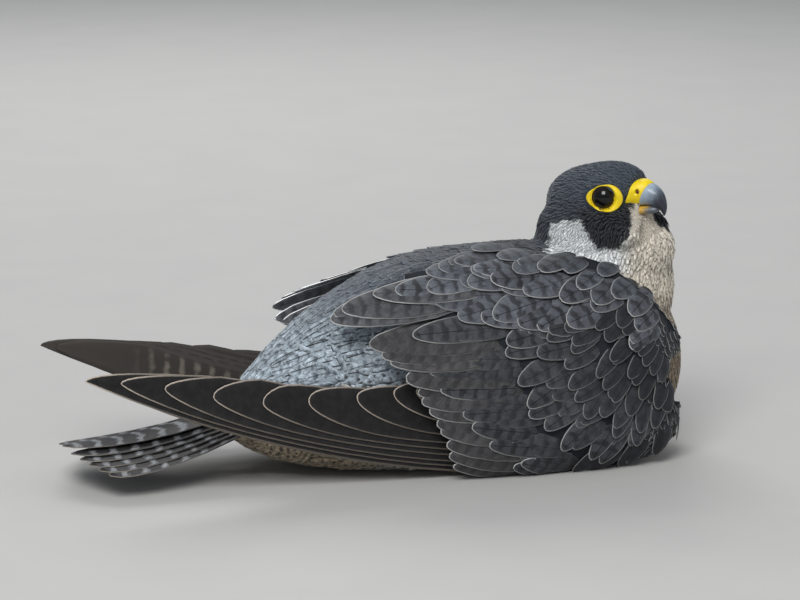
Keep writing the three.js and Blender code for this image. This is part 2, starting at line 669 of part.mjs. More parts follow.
// The middle sheet of the primaries, upright and leaning in at its top
const bladeY = (x, z) => HAND.y + BLADE_SPLAY * (HAND.rearX - x) - BLADE_LEAN * (z - 35);
const upperLine = (run) => 63.2 + 0.045 * run + 0.0002 * run * run;
const lowerLine = (run, lowZ) => lowZ + 0.15 * run + 0.00076 * run * run;
const nose = (share) => Math.sqrt(1 - (1 - Math.min(share, 1)) ** 2);

// The heights of a primary's two edges at x: they follow their lines and meet at its tip
function bladeEdges({ tipX, tipZ, lowZ }, x) {
  const low = (run) => lowerLine(run, lowZ);
  const high = (run) => Math.min(upperLine(run), low(run) + BLADE_WIDTH);
  const run = FAN_START_X - x;
  const tipRun = FAN_START_X - tipX;
  const lower = low(run) + (tipZ - low(tipRun)) * (1 - nose((x - tipX) / LOWER_NOSE));
  const upper = high(run) + (tipZ - high(tipRun)) * (1 - nose((x - tipX) / UPPER_NOSE));
  return { lower, upper };
}

function primary(side, k) {
  const stack = STACK_STEP * ((PRIMARIES.length - 1) / 2 - k);
  const drop = side === LEFT ? LEFT_BLADE_DROP : 0;
  const across = new THREE.Vector3(0, -side * BLADE_LEAN, 1).normalize();
  const normal = new THREE.Vector3(side * BLADE_SPLAY, side, BLADE_LEAN).normalize();
  const place = (t) => {
    const x = THREE.MathUtils.lerp(HAND.rearX + 10, PRIMARIES[k].tipX, t);
    const { lower, upper } = bladeEdges(PRIMARIES[k], x);
    const z = (lower + upper) / 2 - drop;
    const web = Math.max((upper - lower) / 2, 0.8);
    return { middle: new THREE.Vector3(x, side * (bladeY(x, z) + stack), z), across, normal, webs: [web, web] };
  };
  return vane(place, VANE_THICKNESS, [0, 0.35, 0.7, 0.9, 1]);
}

function handOfPrimaries(side) {
  const length = HAND.frontX - HAND.rearX;
  const block = new THREE.BoxGeometry(length, HAND.thickness, HAND.highZ - HAND.lowZ, 1, 1, 1);
  block.translate((HAND.frontX + HAND.rearX) / 2, 0, (HAND.highZ + HAND.lowZ) / 2);
  const base = solid(moved(block, (v) => new THREE.Vector3(v.x, side * (bladeY(HAND.rearX, v.z) + v.y), v.z)));
  return joined([base, ...PRIMARIES.map((_, k) => primary(side, k))])
    .subtract(trunkClearance)
    .trimByPlane(UP, 0);
}

// Nodes

addNode('head', head, SLATE);
addNode('cere', cere, YELLOW);
addNode('bill_upper', upperBill, HORN);
addNode('bill_lower', sectionBeam(lowerSections).subtract(billClearance), HORN);
addNode('eye_right', eyes.right, EYE);
addNode('eye_left', eyes.left, EYE);
addNode('neck', neck, WHITE);
addNode('breast', breast.subtract(headClearance), BUFF);
addNode('back', isAbove(middlePart, UP, BACK_CUT_Z + GAP / 2), SLATE);
addNode('belly', isBelow(middlePart, UP, BACK_CUT_Z - GAP / 2), BUFF);
addNode('rump', rump, BLUE_GREY);
addNode('vent', vent, BUFF);
addNode('tail', tail, DARK);
for (const [side, name] of [[RIGHT, 'right'], [LEFT, 'left']]) {
  const wing = closedWing(side);
  const primaries = handOfPrimaries(side);
  addNode(`wing_${name}`, wing, SLATE);
  addNode(`primaries_${name}`, primaries, DARK);
  addNode(`leg_${name}`, leg(side), YELLOW);
  for (const kind of TOES) addNode(`claw_${kind.name}_${name}`, claw(side, kind).trimByPlane(UP, 0), HORN);
}

export default group;
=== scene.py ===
"""A peregrine falcon at life size, sitting low on the ground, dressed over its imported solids."""
import math

import bmesh
import bpy
import numpy as np
from mathutils import Matrix, Vector
from mathutils.bvhtree import BVHTree


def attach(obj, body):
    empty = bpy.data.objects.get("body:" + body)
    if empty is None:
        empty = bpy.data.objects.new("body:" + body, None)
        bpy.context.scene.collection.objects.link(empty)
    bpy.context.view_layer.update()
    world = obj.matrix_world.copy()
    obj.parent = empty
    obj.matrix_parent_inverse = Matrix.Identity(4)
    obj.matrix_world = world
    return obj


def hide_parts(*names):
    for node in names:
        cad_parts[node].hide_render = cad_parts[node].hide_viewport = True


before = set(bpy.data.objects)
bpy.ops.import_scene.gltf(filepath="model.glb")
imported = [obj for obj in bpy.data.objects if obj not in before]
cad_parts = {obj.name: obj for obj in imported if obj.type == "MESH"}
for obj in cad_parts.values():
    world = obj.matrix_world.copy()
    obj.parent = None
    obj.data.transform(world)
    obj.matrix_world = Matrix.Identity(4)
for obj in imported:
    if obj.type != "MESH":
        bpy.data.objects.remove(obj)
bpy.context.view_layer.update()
MM = 0.001
rng = np.random.default_rng(41)


# Floor, lights and camera
# A plain pale floor and soft studio light. The camera looks slightly down at the bird's
# right side from a little behind it, with a long lens, as the photo does.
class NodeDesk:
    """Adds and links the nodes of one tree."""

    def __init__(self, tree):
        self.tree = tree

    def node(self, kind, **settings):
        made = self.tree.nodes.new(kind)
        for key, value in settings.items():
            setattr(made, key, value)
        return made

    def set(self, socket, value):
        if isinstance(value, bpy.types.NodeSocket):
            self.tree.links.new(value, socket)
        else:
            socket.default_value = value

    def fed(self, kind, values, **settings):
        """A node with values or links for its first inputs, in order."""
        made = self.node(kind, **settings)
        for socket, value in zip(made.inputs, values):
            self.set(socket, value)
        return made

    def math(self, kind, a, b=0.0, c=0.0):
        return self.fed("ShaderNodeMath", (a, b, c), operation=kind).outputs[0]

    def times(self, value, *others):
        for other in others:
            value = self.math("MULTIPLY", value, other)
        return value

    def ramp(self, value, low, high, out_low=0.0, out_high=1.0):
        return self.fed("ShaderNodeMapRange", (value, low, high, out_low, out_high),
                        interpolation_type="SMOOTHSTEP").outputs[0]

    def blend(self, share, a, b, how="MIX"):
        made = self.node("ShaderNodeMix", data_type="RGBA", blend_type=how)
        self.set(made.inputs["Factor"], share)
        self.set(made.inputs[6], a)
        self.set(made.inputs[7], b)
        return made.outputs[2]

    def grey(self, value):
        return self.fed("ShaderNodeCombineColor", (value,) * 3).outputs[0]

    def join(self, *values):
        return self.fed("ShaderNodeCombineXYZ", values).outputs[0]

    def split(self, value):
        return self.fed("ShaderNodeSeparateXYZ", (value,)).outputs

    def uv(self, name):
        return self.split(self.node("ShaderNodeUVMap", uv_map=name).outputs[0])

    def attribute(self, name):
        return self.node("ShaderNodeAttribute", attribute_name=name).outputs

    def place(self):
        return self.node("ShaderNodeTexCoord").outputs["Object"]

    def texture(self, kind, place=None, inputs=(), **settings):
        """A texture laid over the object, unless another place is given."""
        made = self.node(kind, **settings)
        self.set(made.inputs["Vector"], self.place() if place is None else place)
        for socket, value in inputs:
            made.inputs[socket].default_value = value
        return made.outputs

    def noise(self, scale, detail=2, place=None):
        return self.texture("ShaderNodeTexNoise", place, (("Scale", scale), ("Detail", detail)))["Fac"]

    def pebbles(self, scale, feature="F1"):
        return self.texture("ShaderNodeTexVoronoi", None, (("Scale", scale),), feature=feature)["Distance"]

    def bump(self, shader, height, strength, distance):
        made = self.node("ShaderNodeBump")
        made.inputs["Strength"].default_value = strength
        made.inputs["Distance"].default_value = distance
        self.set(made.inputs["Height"], height)
        self.set(shader.inputs["Normal"], made.outputs["Normal"])


def new_finish(name, looks):
    """A new material, the desk for its nodes, and its shader with some inputs set."""
    made = bpy.data.materials.new(name)
    made.use_nodes = True
    shader = made.node_tree.nodes["Principled BSDF"]
    for socket, value in looks.items():
        shader.inputs[socket].default_value = value
    return made, NodeDesk(made.node_tree), shader


def mottled_finish(name, looks, noise, dark, pale):
    """A material whose colour wanders between two, by noise of a scale and a detail."""
    made, desk, shader = new_finish(name, looks)
    desk.set(shader.inputs["Base Color"], desk.blend(desk.noise(*noise), (*dark, 1), (*pale, 1)))
    return made


bpy.ops.object.select_all(action="DESELECT")
bpy.ops.mesh.primitive_plane_add(size=9)
floor = bpy.context.object
floor.name = "studio_floor"
floor.data.materials.append(mottled_finish(
    "studio_floor", {"Roughness": 0.9}, (14, 6), (0.48, 0.475, 0.46), (0.53, 0.52, 0.5)))

CAMERA_TARGET = Vector((-0.051, 0, 0.099))
CAMERA_AZIMUTH = math.radians(-18)
CAMERA_HEIGHT = math.radians(12)
CAMERA_DISTANCE = 2.2
toward_camera = Vector((
    math.sin(CAMERA_AZIMUTH) * math.cos(CAMERA_HEIGHT),
    -math.cos(CAMERA_AZIMUTH) * math.cos(CAMERA_HEIGHT),
    math.sin(CAMERA_HEIGHT)))
bpy.ops.object.camera_add(location=CAMERA_TARGET + toward_camera * CAMERA_DISTANCE)
camera = bpy.context.object
camera.rotation_euler = (-toward_camera).to_track_quat("-Z", "Y").to_euler()
camera.data.sensor_width = 36
camera.data.lens = 163
camera.data.clip_end = 30
bpy.context.scene.camera = camera
bpy.context.scene.view_settings.view_transform = "Standard"

LIGHT_TARGET = Vector((-0.05, 0, 0.08))
for name, place, size, power in (
        ("key", (-0.9, -1.5, 1.7), 1.1, 42),
        ("fill", (1.9, -1.3, 0.9), 1.6, 6),
        ("rim", (0.2, 1.7, 1.5), 1.2, 22)):
    bpy.ops.object.light_add(type="AREA", location=place)
    light = bpy.context.object
    light.name = name
    light.rotation_euler = (LIGHT_TARGET - Vector(place)).to_track_quat("-Z", "Y").to_euler()
    light.data.size = size
    light.data.energy = power
world = bpy.data.worlds.new("studio")
bpy.context.scene.world = world
world.use_nodes = True
background = world.node_tree.nodes["Background"]
background.inputs["Color"].default_value = (0.8, 0.85, 0.92, 1)
background.inputs["Strength"].default_value = 0.36


# Markings
# Where the plumage changes colour: dark hood with its moustache, white cheek, buff throat,
# pale spotted breast, barred belly, slate mantle and blue-grey rump. Skin and feathers share it.
HEAD_CENTRE = np.array((75.5, -8, 152.5))
HEAD_YAW = math.radians(-53)
HEAD_PITCH = math.radians(3)
head_turn = np.array(Matrix.Rotation(HEAD_YAW, 3, "Z") @ Matrix.Rotation(-HEAD_PITCH, 3, "Y"))


def in_head(points):
    """Points in millimetres as forward, left and up from the middle of the head."""
    return (np.asarray(points) - HEAD_CENTRE) @ head_turn


def from_head(places):
    """Places given as forward, left and up from the middle of the head, back in the row frame."""
    return np.asarray(places) @ head_turn.T + HEAD_CENTRE


def step(value, low, high):
    """A smooth step from 0 at low to 1 at high."""
    share = np.clip((value - low) / (high - low), 0, 1)
    return share * share * (3 - 2 * share)


CROWN = np.array((0.046, 0.058, 0.077))
EAR = np.array((0.034, 0.041, 0.053))
MOUSTACHE = np.array((0.011, 0.012, 0.016))
LORES = np.array((0.13, 0.115, 0.085))
CHEEK = np.array((0.62, 0.64, 0.64))
THROAT = np.array((0.56, 0.51, 0.43))
BREAST = np.array((0.36, 0.28, 0.19))
BELLY = np.array((0.44, 0.42, 0.38))
MANTLE = np.array((0.036, 0.041, 0.05))
RUMP_TOP = np.array((0.09, 0.104, 0.122))
RUMP_SIDE = np.array((0.37, 0.43, 0.48))
VENT = np.array((0.38, 0.31, 0.22))


def mixed(base, other, share):
    return base + (other - base) * share[:, None]


def side_view(places):
    """How far forward and down a place on the head lies as the camera sees its side."""
    forward, left, up = places.T
    out = np.abs(left)
    return 0.819 * forward - 0.574 * out, 0.119 * forward + 0.171 * out - 0.978 * up


def plumage(points):
    """Tone, bar strength and spot strength of the coat at points in millimetres."""
    p = np.asarray(points, float)
    h = in_head(p)
    wobble = np.sin(p[:, 0] * 0.9 + p[:, 2] * 0.7) + 0.7 * np.sin(p[:, 1] * 1.1 - p[:, 2] * 0.5)

    # Slate above, paling to blue-grey on the sides of the rump, and buff with bars below
    rear = 1 - step(p[:, 0], -80, -20)
    rump = mixed(RUMP_SIDE, RUMP_TOP, step(p[:, 2] + 0.12 * p[:, 0], 62, 104))
    tone = mixed(MANTLE, rump, rear)
    toward_front = (p[:, 0] - 79) * 0.85 - (p[:, 1] + 3) * 0.53
    pale = np.where(p[:, 0] > 30, step(toward_front + wobble, -24, -18), 0.0)
    low = 1 - step(p[:, 2], 40, 60)
    below_tail = 1 - step(p[:, 2] - (p[:, 0] + 92) * 0.27, 50, 56)
    pale = np.maximum(pale, np.where(p[:, 0] > -92, low, below_tail))
    under = mixed(THROAT, BREAST, 1 - step(p[:, 2], 72, 112))
    under = mixed(under, BELLY, 1 - step(p[:, 0], 20, 70))
    under = mixed(under, VENT, 1 - step(p[:, 0], -90, -60))
    tone = mixed(tone, under, pale)
    bars = np.where(pale > 0.5, 0.9 * (1 - step(p[:, 2], 40, 66)), 0.25 + 0.6 * rear)
    spots = pale * step(p[:, 2], 26, 46) * (1 - step(p[:, 2], 84, 100))

    # The head: a dark hood, a moustache on each cheek, and white behind and below it
    forward, down = side_view(h)
    forward = forward + 0.7 * wobble
    down = down + 0.4 * wobble
    far = step(h[:, 1], 4, 10)
    floor_of_hood = 10.5 - 5 * step(forward - 9 * far, 13, 17)
    hood = 1 - step(down, floor_of_hood - 1, floor_of_hood + 1)
    nape = 1 - step(forward + 0.17 * (down - 11), -32.5, -30)
    rear_edge = -11.8 + 0.45 * (down - 13)
    front_edge = 17 - 0.035 * np.maximum(down - 13, 0) ** 2
    moustache = step(forward, rear_edge - 1.2, rear_edge + 1.2) * step(np.abs(h[:, 1]), 5, 8)
    moustache *= 1 - step(forward - 9 * far, front_edge - 1, front_edge + 1)
    moustache *= 1 - step(down - 6 * far, 27, 31)
    face = mixed(CHEEK, THROAT, step(forward, 4, 22))
    dark = mixed(CROWN, EAR, step(down, -8, 4))
    face = mixed(face, dark, np.maximum(hood, nape))
    face = mixed(face, MOUSTACHE, moustache * step(down, 0, 9))
    lores = step(forward, 14, 20) * (1 - step(forward, 26, 30)) * (1 - step(np.abs(down + 1), 4, 9))
    face = mixed(face, LORES, 0.7 * lores)
    on_head = step(p[:, 2], 112, 120) * step(p[:, 0], 22, 32)
    tone = mixed(tone, face, on_head)
    return tone, bars * (1 - on_head), spots * (1 - on_head)


# Skin
# The bird's body under its feathers, one closed skin from the forehead to the vent. It is made from
# copies of the flesh solids, fused by a fine voxel remesh and drawn in by the depth of the coat.
FLESH = ["head", "neck", "breast", "back", "belly", "rump", "vent"]
COAT_DEPTH = 0.9 * MM
SEAM_OVERLAP = 0.45 * MM
SKIN_VOXEL = 1.7 * MM


def finish_modifiers(piece):
    """Applies every modifier of a piece, in order."""
    bpy.ops.object.select_all(action="DESELECT")
    piece.select_set(True)
    bpy.context.view_layer.objects.active = piece
    for modifier in list(piece.modifiers):
        bpy.ops.object.modifier_apply(modifier=modifier.name)


def merged_copy(names, new_name):
    """One new object from copies of CAD nodes, their loose triangles joined."""
    bpy.ops.object.select_all(action="DESELECT")
    copies = []
    for name in names:
        twin = bpy.data.objects.new(name + "_copy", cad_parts[name].data.copy())
        bpy.context.collection.objects.link(twin)
        twin.select_set(True)
        copies.append(twin)
    bpy.context.view_layer.objects.active = copies[0]
    if len(copies) > 1:
        bpy.ops.object.join()
    piece = bpy.context.view_layer.objects.active
    piece.name = new_name
    piece.data.name = new_name
    piece.data.materials.clear()
    bpy.ops.object.mode_set(mode="EDIT")
    bpy.ops.mesh.select_all(action="SELECT")
    bpy.ops.mesh.remove_doubles(threshold=1e-6)
    bpy.ops.object.mode_set(mode="OBJECT")
    return piece


skin = merged_copy(FLESH, "skin")
swell = skin.modifiers.new("swell", "DISPLACE")
swell.mid_level = 0
swell.strength = SEAM_OVERLAP
fuse = skin.modifiers.new("fuse", "REMESH")
fuse.mode = "VOXEL"
fuse.voxel_size = SKIN_VOXEL
ease = skin.modifiers.new("ease", "SMOOTH")
ease.factor = 0.5
ease.iterations = 14
draw_in = skin.modifiers.new("draw_in", "DISPLACE")
draw_in.mid_level = 0
draw_in.strength = -COAT_DEPTH
finish_modifiers(skin)
bpy.ops.object.shade_smooth()


def mesh_arrays(mesh):
    """A mesh's vertices in millimetres and their normals."""
    places = np.empty(len(mesh.vertices) * 3)
    normals = np.empty(len(mesh.vertices) * 3)
    mesh.vertices.foreach_get("co", places)
    mesh.vertices.foreach_get("normal", normals)
    return places.reshape(-1, 3) / MM, normals.reshape(-1, 3)


def add_colour(mesh, name, values):
    """A colour for each vertex, with four numbers."""
    layer = mesh.color_attributes.new(name, "FLOAT_COLOR", "POINT")
    layer.data.foreach_set("color", np.ascontiguousarray(values, np.float32).ravel())


def unwrap_place(points):
    """Where a point of the skin lies on its own unwrap: round the body and along it, or over the head."""
    p = np.asarray(points)
    h = in_head(p)
    on_head = np.linalg.norm(h, axis=1) < 42
    around = np.arctan2(p[:, 1], p[:, 2] - 60) / (2 * math.pi) + 0.5
    body = np.stack([0.02 + 0.5 * around, 0.02 + 0.9 * (p[:, 0] + 170) / 310], 1)
    over = np.arctan2(h[:, 1], h[:, 2]) / (2 * math.pi) + 0.5
    head = np.stack([0.55 + 0.42 * over, 0.05 + 0.85 * (h[:, 0] + 45) / 95], 1)
    return np.where(on_head[:, None], head, body)


skin_points, _ = mesh_arrays(skin.data)
skin_tone, _, _ = plumage(skin_points)
add_colour(skin.data, "tone", np.concatenate([skin_tone * 0.85, np.ones((len(skin_tone), 1))], 1))
skin_map = skin.data.uv_layers.new(name="OFBake")
skin_corners = np.empty(len(skin.data.loops), int)
skin.data.loops.foreach_get("vertex_index", skin_corners)
skin_map.data.foreach_set("uv", unwrap_place(skin_points)[skin_corners].astype(np.float32).ravel())

skin_finish, desk, shader = new_finish("skin_under_feathers", {"Roughness": 0.95, "Specular IOR Level": 0.1})
desk.set(shader.inputs["Base Color"], desk.attribute("tone")["Color"])
desk.bump(shader, desk.noise(900), 0.6, 0.0006)
skin.data.materials.append(skin_finish)
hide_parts(*FLESH)
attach(skin, "root")


# Feather finish
# Keratin vanes: fine barbs on both sides of a dark shaft, dark bars, and a worn pale fringe.
# One node group lays these over each feather's own tone, from its own maps in millimetres.
marks = bpy.data.node_groups.new("Feather marks", "ShaderNodeTree")
for socket, kind, default in (
        ("Tone", "NodeSocketColor", (0.1, 0.1, 0.1, 1)),
        ("Phase", "NodeSocketFloat", 0.0),
        ("Bar strength", "NodeSocketFloat", 0.5),
        ("Shaft strength", "NodeSocketFloat", 0.5),
        ("Fringe strength", "NodeSocketFloat", 0.5),
        ("Bar spacing", "NodeSocketFloat", 6.0),
        ("Bar colour", "NodeSocketColor", (0.02, 0.02, 0.02, 1)),
        ("Fringe colour", "NodeSocketColor", (0.3, 0.29, 0.27, 1)),
        ("Fringe width", "NodeSocketFloat", 0.55),
        ("Shaft width", "NodeSocketFloat", 0.25),
        ("Bar start", "NodeSocketFloat", -0.1),
        ("Streaks", "NodeSocketFloat", 0.22)):
    made = marks.interface.new_socket(socket, in_out="INPUT", socket_type=kind)
    made.default_value = default
marks.interface.new_socket("Colour", in_out="OUTPUT", socket_type="NodeSocketColor")
marks.interface.new_socket("Height", in_out="OUTPUT", socket_type="NodeSocketFloat")

desk = NodeDesk(marks)
given = desk.node("NodeGroupInput").outputs
across_mm, along_mm, _ = desk.uv("shaft")
rim_mm = desk.uv("rim")["X"]
away = desk.math("ABSOLUTE", across_mm)
barb = desk.math("ADD", along_mm, desk.times(away, 1.1))
streaks = desk.noise(1, 4, desk.join(
    desk.times(barb, 1.5), desk.times(across_mm, 0.3), desk.times(given["Phase"], 60)))
cloud = desk.noise(0.23, 3, desk.join(along_mm, across_mm, desk.times(given["Phase"], 90)))
barb_wave = desk.math("SINE", desk.math("MULTIPLY_ADD", barb, 8.0, desk.times(streaks, 4.0)))
barbs = desk.math("MULTIPLY_ADD", barb_wave, 0.5, 0.5)

# Dark bars, soft and broken, that fade before the rim
bar_place = desk.math("MULTIPLY_ADD", cloud, 7.0, desk.math("MULTIPLY_ADD", away, 0.3, along_mm))
bar_place = desk.math("MULTIPLY_ADD", given["Phase"], given["Bar spacing"], bar_place)
bar_turn = desk.math("DIVIDE", desk.times(bar_place, 2 * math.pi), given["Bar spacing"])
bar_wave = desk.math("ADD", desk.math("SINE", bar_turn), desk.math("MULTIPLY_ADD", streaks, 1.4, -0.7))
bars = desk.ramp(bar_wave, given["Bar start"], desk.math("ADD", given["Bar start"], 0.9))
bars = desk.times(bars, desk.ramp(rim_mm, 0.4, 2.6), given["Bar strength"])
colour = desk.blend(bars, given["Tone"], given["Bar colour"])

# Barbs, streaks and a darker middle
dim, bright = (desk.math(kind, 1.0, given["Streaks"]) for kind in ("SUBTRACT", "ADD"))
shade = desk.times(
    desk.ramp(cloud, 0.32, 0.68, 0.8, 1.2), desk.ramp(streaks, 0.3, 0.7, dim, bright),
    desk.math("MULTIPLY_ADD", barbs, 0.2, 0.9), desk.ramp(rim_mm, 0.5, 5.5, 1.16, 0.9))
colour = desk.blend(1.0, colour, desk.grey(shade), "MULTIPLY")

# A worn pale fringe with a dark line inside it, brightest at the tip
edge = desk.math("ADD", rim_mm, desk.math("MULTIPLY_ADD", streaks, 0.7, -0.35))
inside_edge = desk.times(desk.ramp(edge, 0.5, 2.2, 1.0, 0.0), given["Fringe strength"], 0.3)
colour = desk.blend(inside_edge, colour, given["Bar colour"])
fringe = desk.math("SUBTRACT", 1.0, desk.ramp(desk.math("DIVIDE", edge, given["Fringe width"]), 0.4, 1.2))
fringe = desk.times(fringe, desk.ramp(along_mm, 8.0, 34.0, 1.0, 0.55), given["Fringe strength"])
colour = desk.blend(fringe, colour, given["Fringe colour"])
shaft = desk.math("SUBTRACT", 1.0, desk.ramp(desk.math("DIVIDE", away, given["Shaft width"]), 0.5, 1.3))
shaft = desk.times(shaft, desk.ramp(along_mm, 0.6, 2.5), given["Shaft strength"])
height = desk.math("ADD", desk.times(barbs, 0.3), desk.times(streaks, 1.1))
out = desk.node("NodeGroupOutput")
desk.set(out.inputs["Colour"], desk.blend(shaft, colour, (0.007, 0.007, 0.008, 1)))
desk.set(out.inputs["Height"], desk.math("ADD", height, shaft))


def feather_finish(name, bar_spacing, bar_colour, fringe_colour, fringe_width, roughness, sheen,
                   shaft_width=0.25, bar_start=-0.1, streaks=0.22, under=1.0):
    """A feather material: the marks group, fed by each feather's own tone and marks. The colour
    underneath is under times as bright: partly the paler underside of real feathers, partly painted light on
    undersides that face away from the lamps."""
    made, desk, shader = new_finish(name, {
        "Roughness": roughness, "Sheen Weight": sheen, "Sheen Roughness": 0.5, "Specular IOR Level": 0.2})
    tone = desk.attribute("tone")
    bars, shaft, fringe = desk.split(desk.attribute("mark")["Vector"])
    group = desk.node("ShaderNodeGroup", node_tree=marks)
    for socket, value in {
            "Tone": tone["Color"], "Phase": tone["Alpha"], "Bar strength": bars, "Shaft strength": shaft,
            "Fringe strength": fringe, "Bar spacing": bar_spacing, "Bar colour": (*bar_colour, 1),
            "Fringe colour": (*fringe_colour, 1), "Fringe width": fringe_width, "Shaft width": shaft_width,
            "Bar start": bar_start, "Streaks": streaks}.items():
        desk.set(group.inputs[socket], value)
    desk.bump(shader, group.outputs["Height"], 0.5, 0.00025)
    # Undersides brightened: partly their own paler colour, partly painted light where they face away from the
    # key light.
    underside_pale_and_lit = desk.grey(desk.math("MULTIPLY_ADD", desk.uv("rim")["Y"], under - 1, 1.0))
    desk.set(shader.inputs["Base Color"], desk.blend(1.0, group.outputs["Colour"], underside_pale_and_lit, "MULTIPLY"))
    return made


# Vanes
# Every feather is a thin closed vane: a cambered sheet on a curved shaft, fuller in the middle
# and sharp at its rim. Thousands share one mesh, each with its own tone, marks and maps.
LOWEST_VANE_Z = 0.15


def vane_share(t, broadest, root, bluntness):
    """Half width at a share of the length: narrow at the root, full, then round at the tip."""
    t = np.asarray(t, float)
    rising = root + (1 - root) * np.sin(np.clip(t / broadest, 0, 1) * math.pi / 2)
    falling = np.sqrt(np.clip(1 - np.clip((t - broadest) / (1 - broadest), 0, 1) ** bluntness, 0.012, 1))
    return np.where(t < broadest, rising, falling)


def unit(vectors):
    return vectors / np.maximum(np.linalg.norm(vectors, axis=-1, keepdims=True), 1e-9)


def vane_mesh(name, middle, across, normal, reach, stations, lengths, tone, mark, roots_or_cells,
              thickness, camber, columns=(-1, -0.86, -0.45, 0, 0.45, 0.86, 1)):
    """One object from N vanes of R stations. Lengths in millimetres; reach is N x R x 2 half widths.
    The last map is either an N x 2 place on the skin's unwrap, or an N x 4 cell of its own."""
    count, rows = middle.shape[:2]
    cols = np.asarray(columns, float)
    width = len(cols)
    side_reach = np.where(cols < 0, reach[..., :1], reach[..., 1:])
    out = cols * side_reach
    bend = camber * cols ** 2 * side_reach
    front = (middle[:, :, None] + across[:, :, None] * out[..., None]
             + normal[:, :, None] * (thickness * (1 - cols ** 2) * 0.5 - bend)[..., None])
    inner = front[:, 1:-1, 1:-1] - normal[:, 1:-1, None] * thickness
    verts = np.concatenate([front.reshape(count, -1, 3), inner.reshape(count, -1, 3)], 1)
    verts[..., 2] = np.maximum(verts[..., 2], LOWEST_VANE_Z)
    per = verts.shape[1]

    grid = np.arange(rows * width).reshape(rows, width)
    back = grid.copy()
    back[1:-1, 1:-1] = rows * width + np.arange((rows - 2) * (width - 2)).reshape(rows - 2, width - 2)
    front_quads = np.stack([grid[:-1, :-1], grid[:-1, 1:], grid[1:, 1:], grid[1:, :-1]], -1).reshape(-1, 4)
    back_quads = np.stack([back[:-1, :-1], back[1:, :-1], back[1:, 1:], back[:-1, 1:]], -1).reshape(-1, 4)
    quads = np.concatenate([front_quads, back_quads])
    is_back = np.repeat([0, 1], len(front_quads))
    faces = (quads[None] + (np.arange(count) * per)[:, None, None]).reshape(-1, 4)

    tip_away = (1 - stations)[None, :, None] * lengths[:, None, None] * np.ones((1, 1, width))
    rim_away = np.minimum((1 - np.abs(cols)) * side_reach, tip_away)
    shaft_uv = np.stack([out, tip_away], -1).reshape(count, -1, 2)
    rim_uv = rim_away.reshape(count, -1)
    pick = np.concatenate([np.arange(rows * width), grid[1:-1, 1:-1].ravel()])

    mesh = bpy.data.meshes.new(name)
    mesh.vertices.add(count * per)
    mesh.vertices.foreach_set("co", (verts * MM).astype(np.float32).ravel())
    mesh.loops.add(faces.size)
    mesh.loops.foreach_set("vertex_index", faces.astype(np.int32).ravel())
    mesh.polygons.add(len(faces))
    mesh.polygons.foreach_set("loop_start", np.arange(0, faces.size, 4, dtype=np.int32))
    mesh.update(calc_edges=True)
    mesh.polygons.foreach_set("use_smooth", np.ones(len(faces), bool))

    local = np.tile(pick[quads.ravel()], count)
    which = np.repeat(np.arange(count), quads.size)
    turned = np.tile(np.repeat(is_back, 4), count)
    shaft_layer = mesh.uv_layers.new(name="shaft")
    shaft_layer.data.foreach_set("uv", shaft_uv[which, local].astype(np.float32).ravel())
    rim_layer = mesh.uv_layers.new(name="rim")
    rim_values = np.stack([rim_uv[which, local], turned.astype(float)], -1)
    rim_layer.data.foreach_set("uv", rim_values.astype(np.float32).ravel())
    bake_layer = mesh.uv_layers.new(name="OFBake")
    column = np.tile((cols + 1) / 2, rows)[local]
    row = np.repeat(stations, width)[local]
    if roots_or_cells.shape[1] == 2:
        patch = roots_or_cells[which] + 0.003 * np.stack([column, row], -1)
    else:
        cell = roots_or_cells[which]
        across_cell = cell[:, 2] * (0.05 + 0.42 * column + 0.48 * turned)
        patch = np.stack([cell[:, 0] + across_cell, cell[:, 1] + cell[:, 3] * (0.05 + 0.9 * row)], -1)
    bake_layer.data.foreach_set("uv", patch.astype(np.float32).ravel())
    phase = np.random.default_rng(count).random((count, 1))
    add_colour(mesh, "tone", np.repeat(np.concatenate([tone, phase], 1), per, 0))
    add_colour(mesh, "mark", np.repeat(np.concatenate([mark, phase], 1), per, 0))
    piece = bpy.data.objects.new(name, mesh)
    bpy.context.collection.objects.link(piece)
    return piece


def cells(count):
    """A grid of bake cells, one for each of count vanes."""
    side = math.ceil(math.sqrt(count))
    place = np.arange(count)
    return np.stack([place % side / side, place // side / side,
                     np.full(count, 1 / side), np.full(count, 1 / side)], 1)


# Wings
# The folded wing is a shell over the flank: secondaries and tertials at the back, then greater,
# median and lesser coverts, and scapulars over the shoulder, each row lapping the one behind.
RIGHT, LEFT = -1, 1
SIDE_NAMES = {RIGHT: "right", LEFT: "left"}
SHELL_X = np.array((-130, -90, -50, 0, 50, 90, 106, 115.0))
SHELL_TOP = np.array((112, 121, 131, 135, 134, 124, 112, 96.0))
SHELL_BOTTOM = np.array((2, -2, -5, -7, -6, -4, 2, 16.0))
SHELL_HALF = np.array((58, 63, 70, 77, 78, 71, 62, 48.0))
UPPER_POWER, LOWER_POWER = 2.5, 4
LEFT_WING_DROP = 9


def along(values, x):
    """The solids' own cubic curve through the sections of the wing's shell."""
    last = len(SHELL_X) - 1
    x = min(max(x, SHELL_X[0]), SHELL_X[-1])
    k = min(max(int(np.searchsorted(SHELL_X, x)) - 1, 0), last - 1)

    def slope(i):
        a, b = max(i - 1, 0), min(i + 1, last)
        return (values[b] - values[a]) / (SHELL_X[b] - SHELL_X[a])

    span = SHELL_X[k + 1] - SHELL_X[k]
    t = (x - SHELL_X[k]) / span
    rise = (values[k + 1] - values[k]) * t * t * (3 - 2 * t)
    return values[k] + rise + slope(k) * span * t * (1 - t) ** 2 + slope(k + 1) * span * t * t * (t - 1)


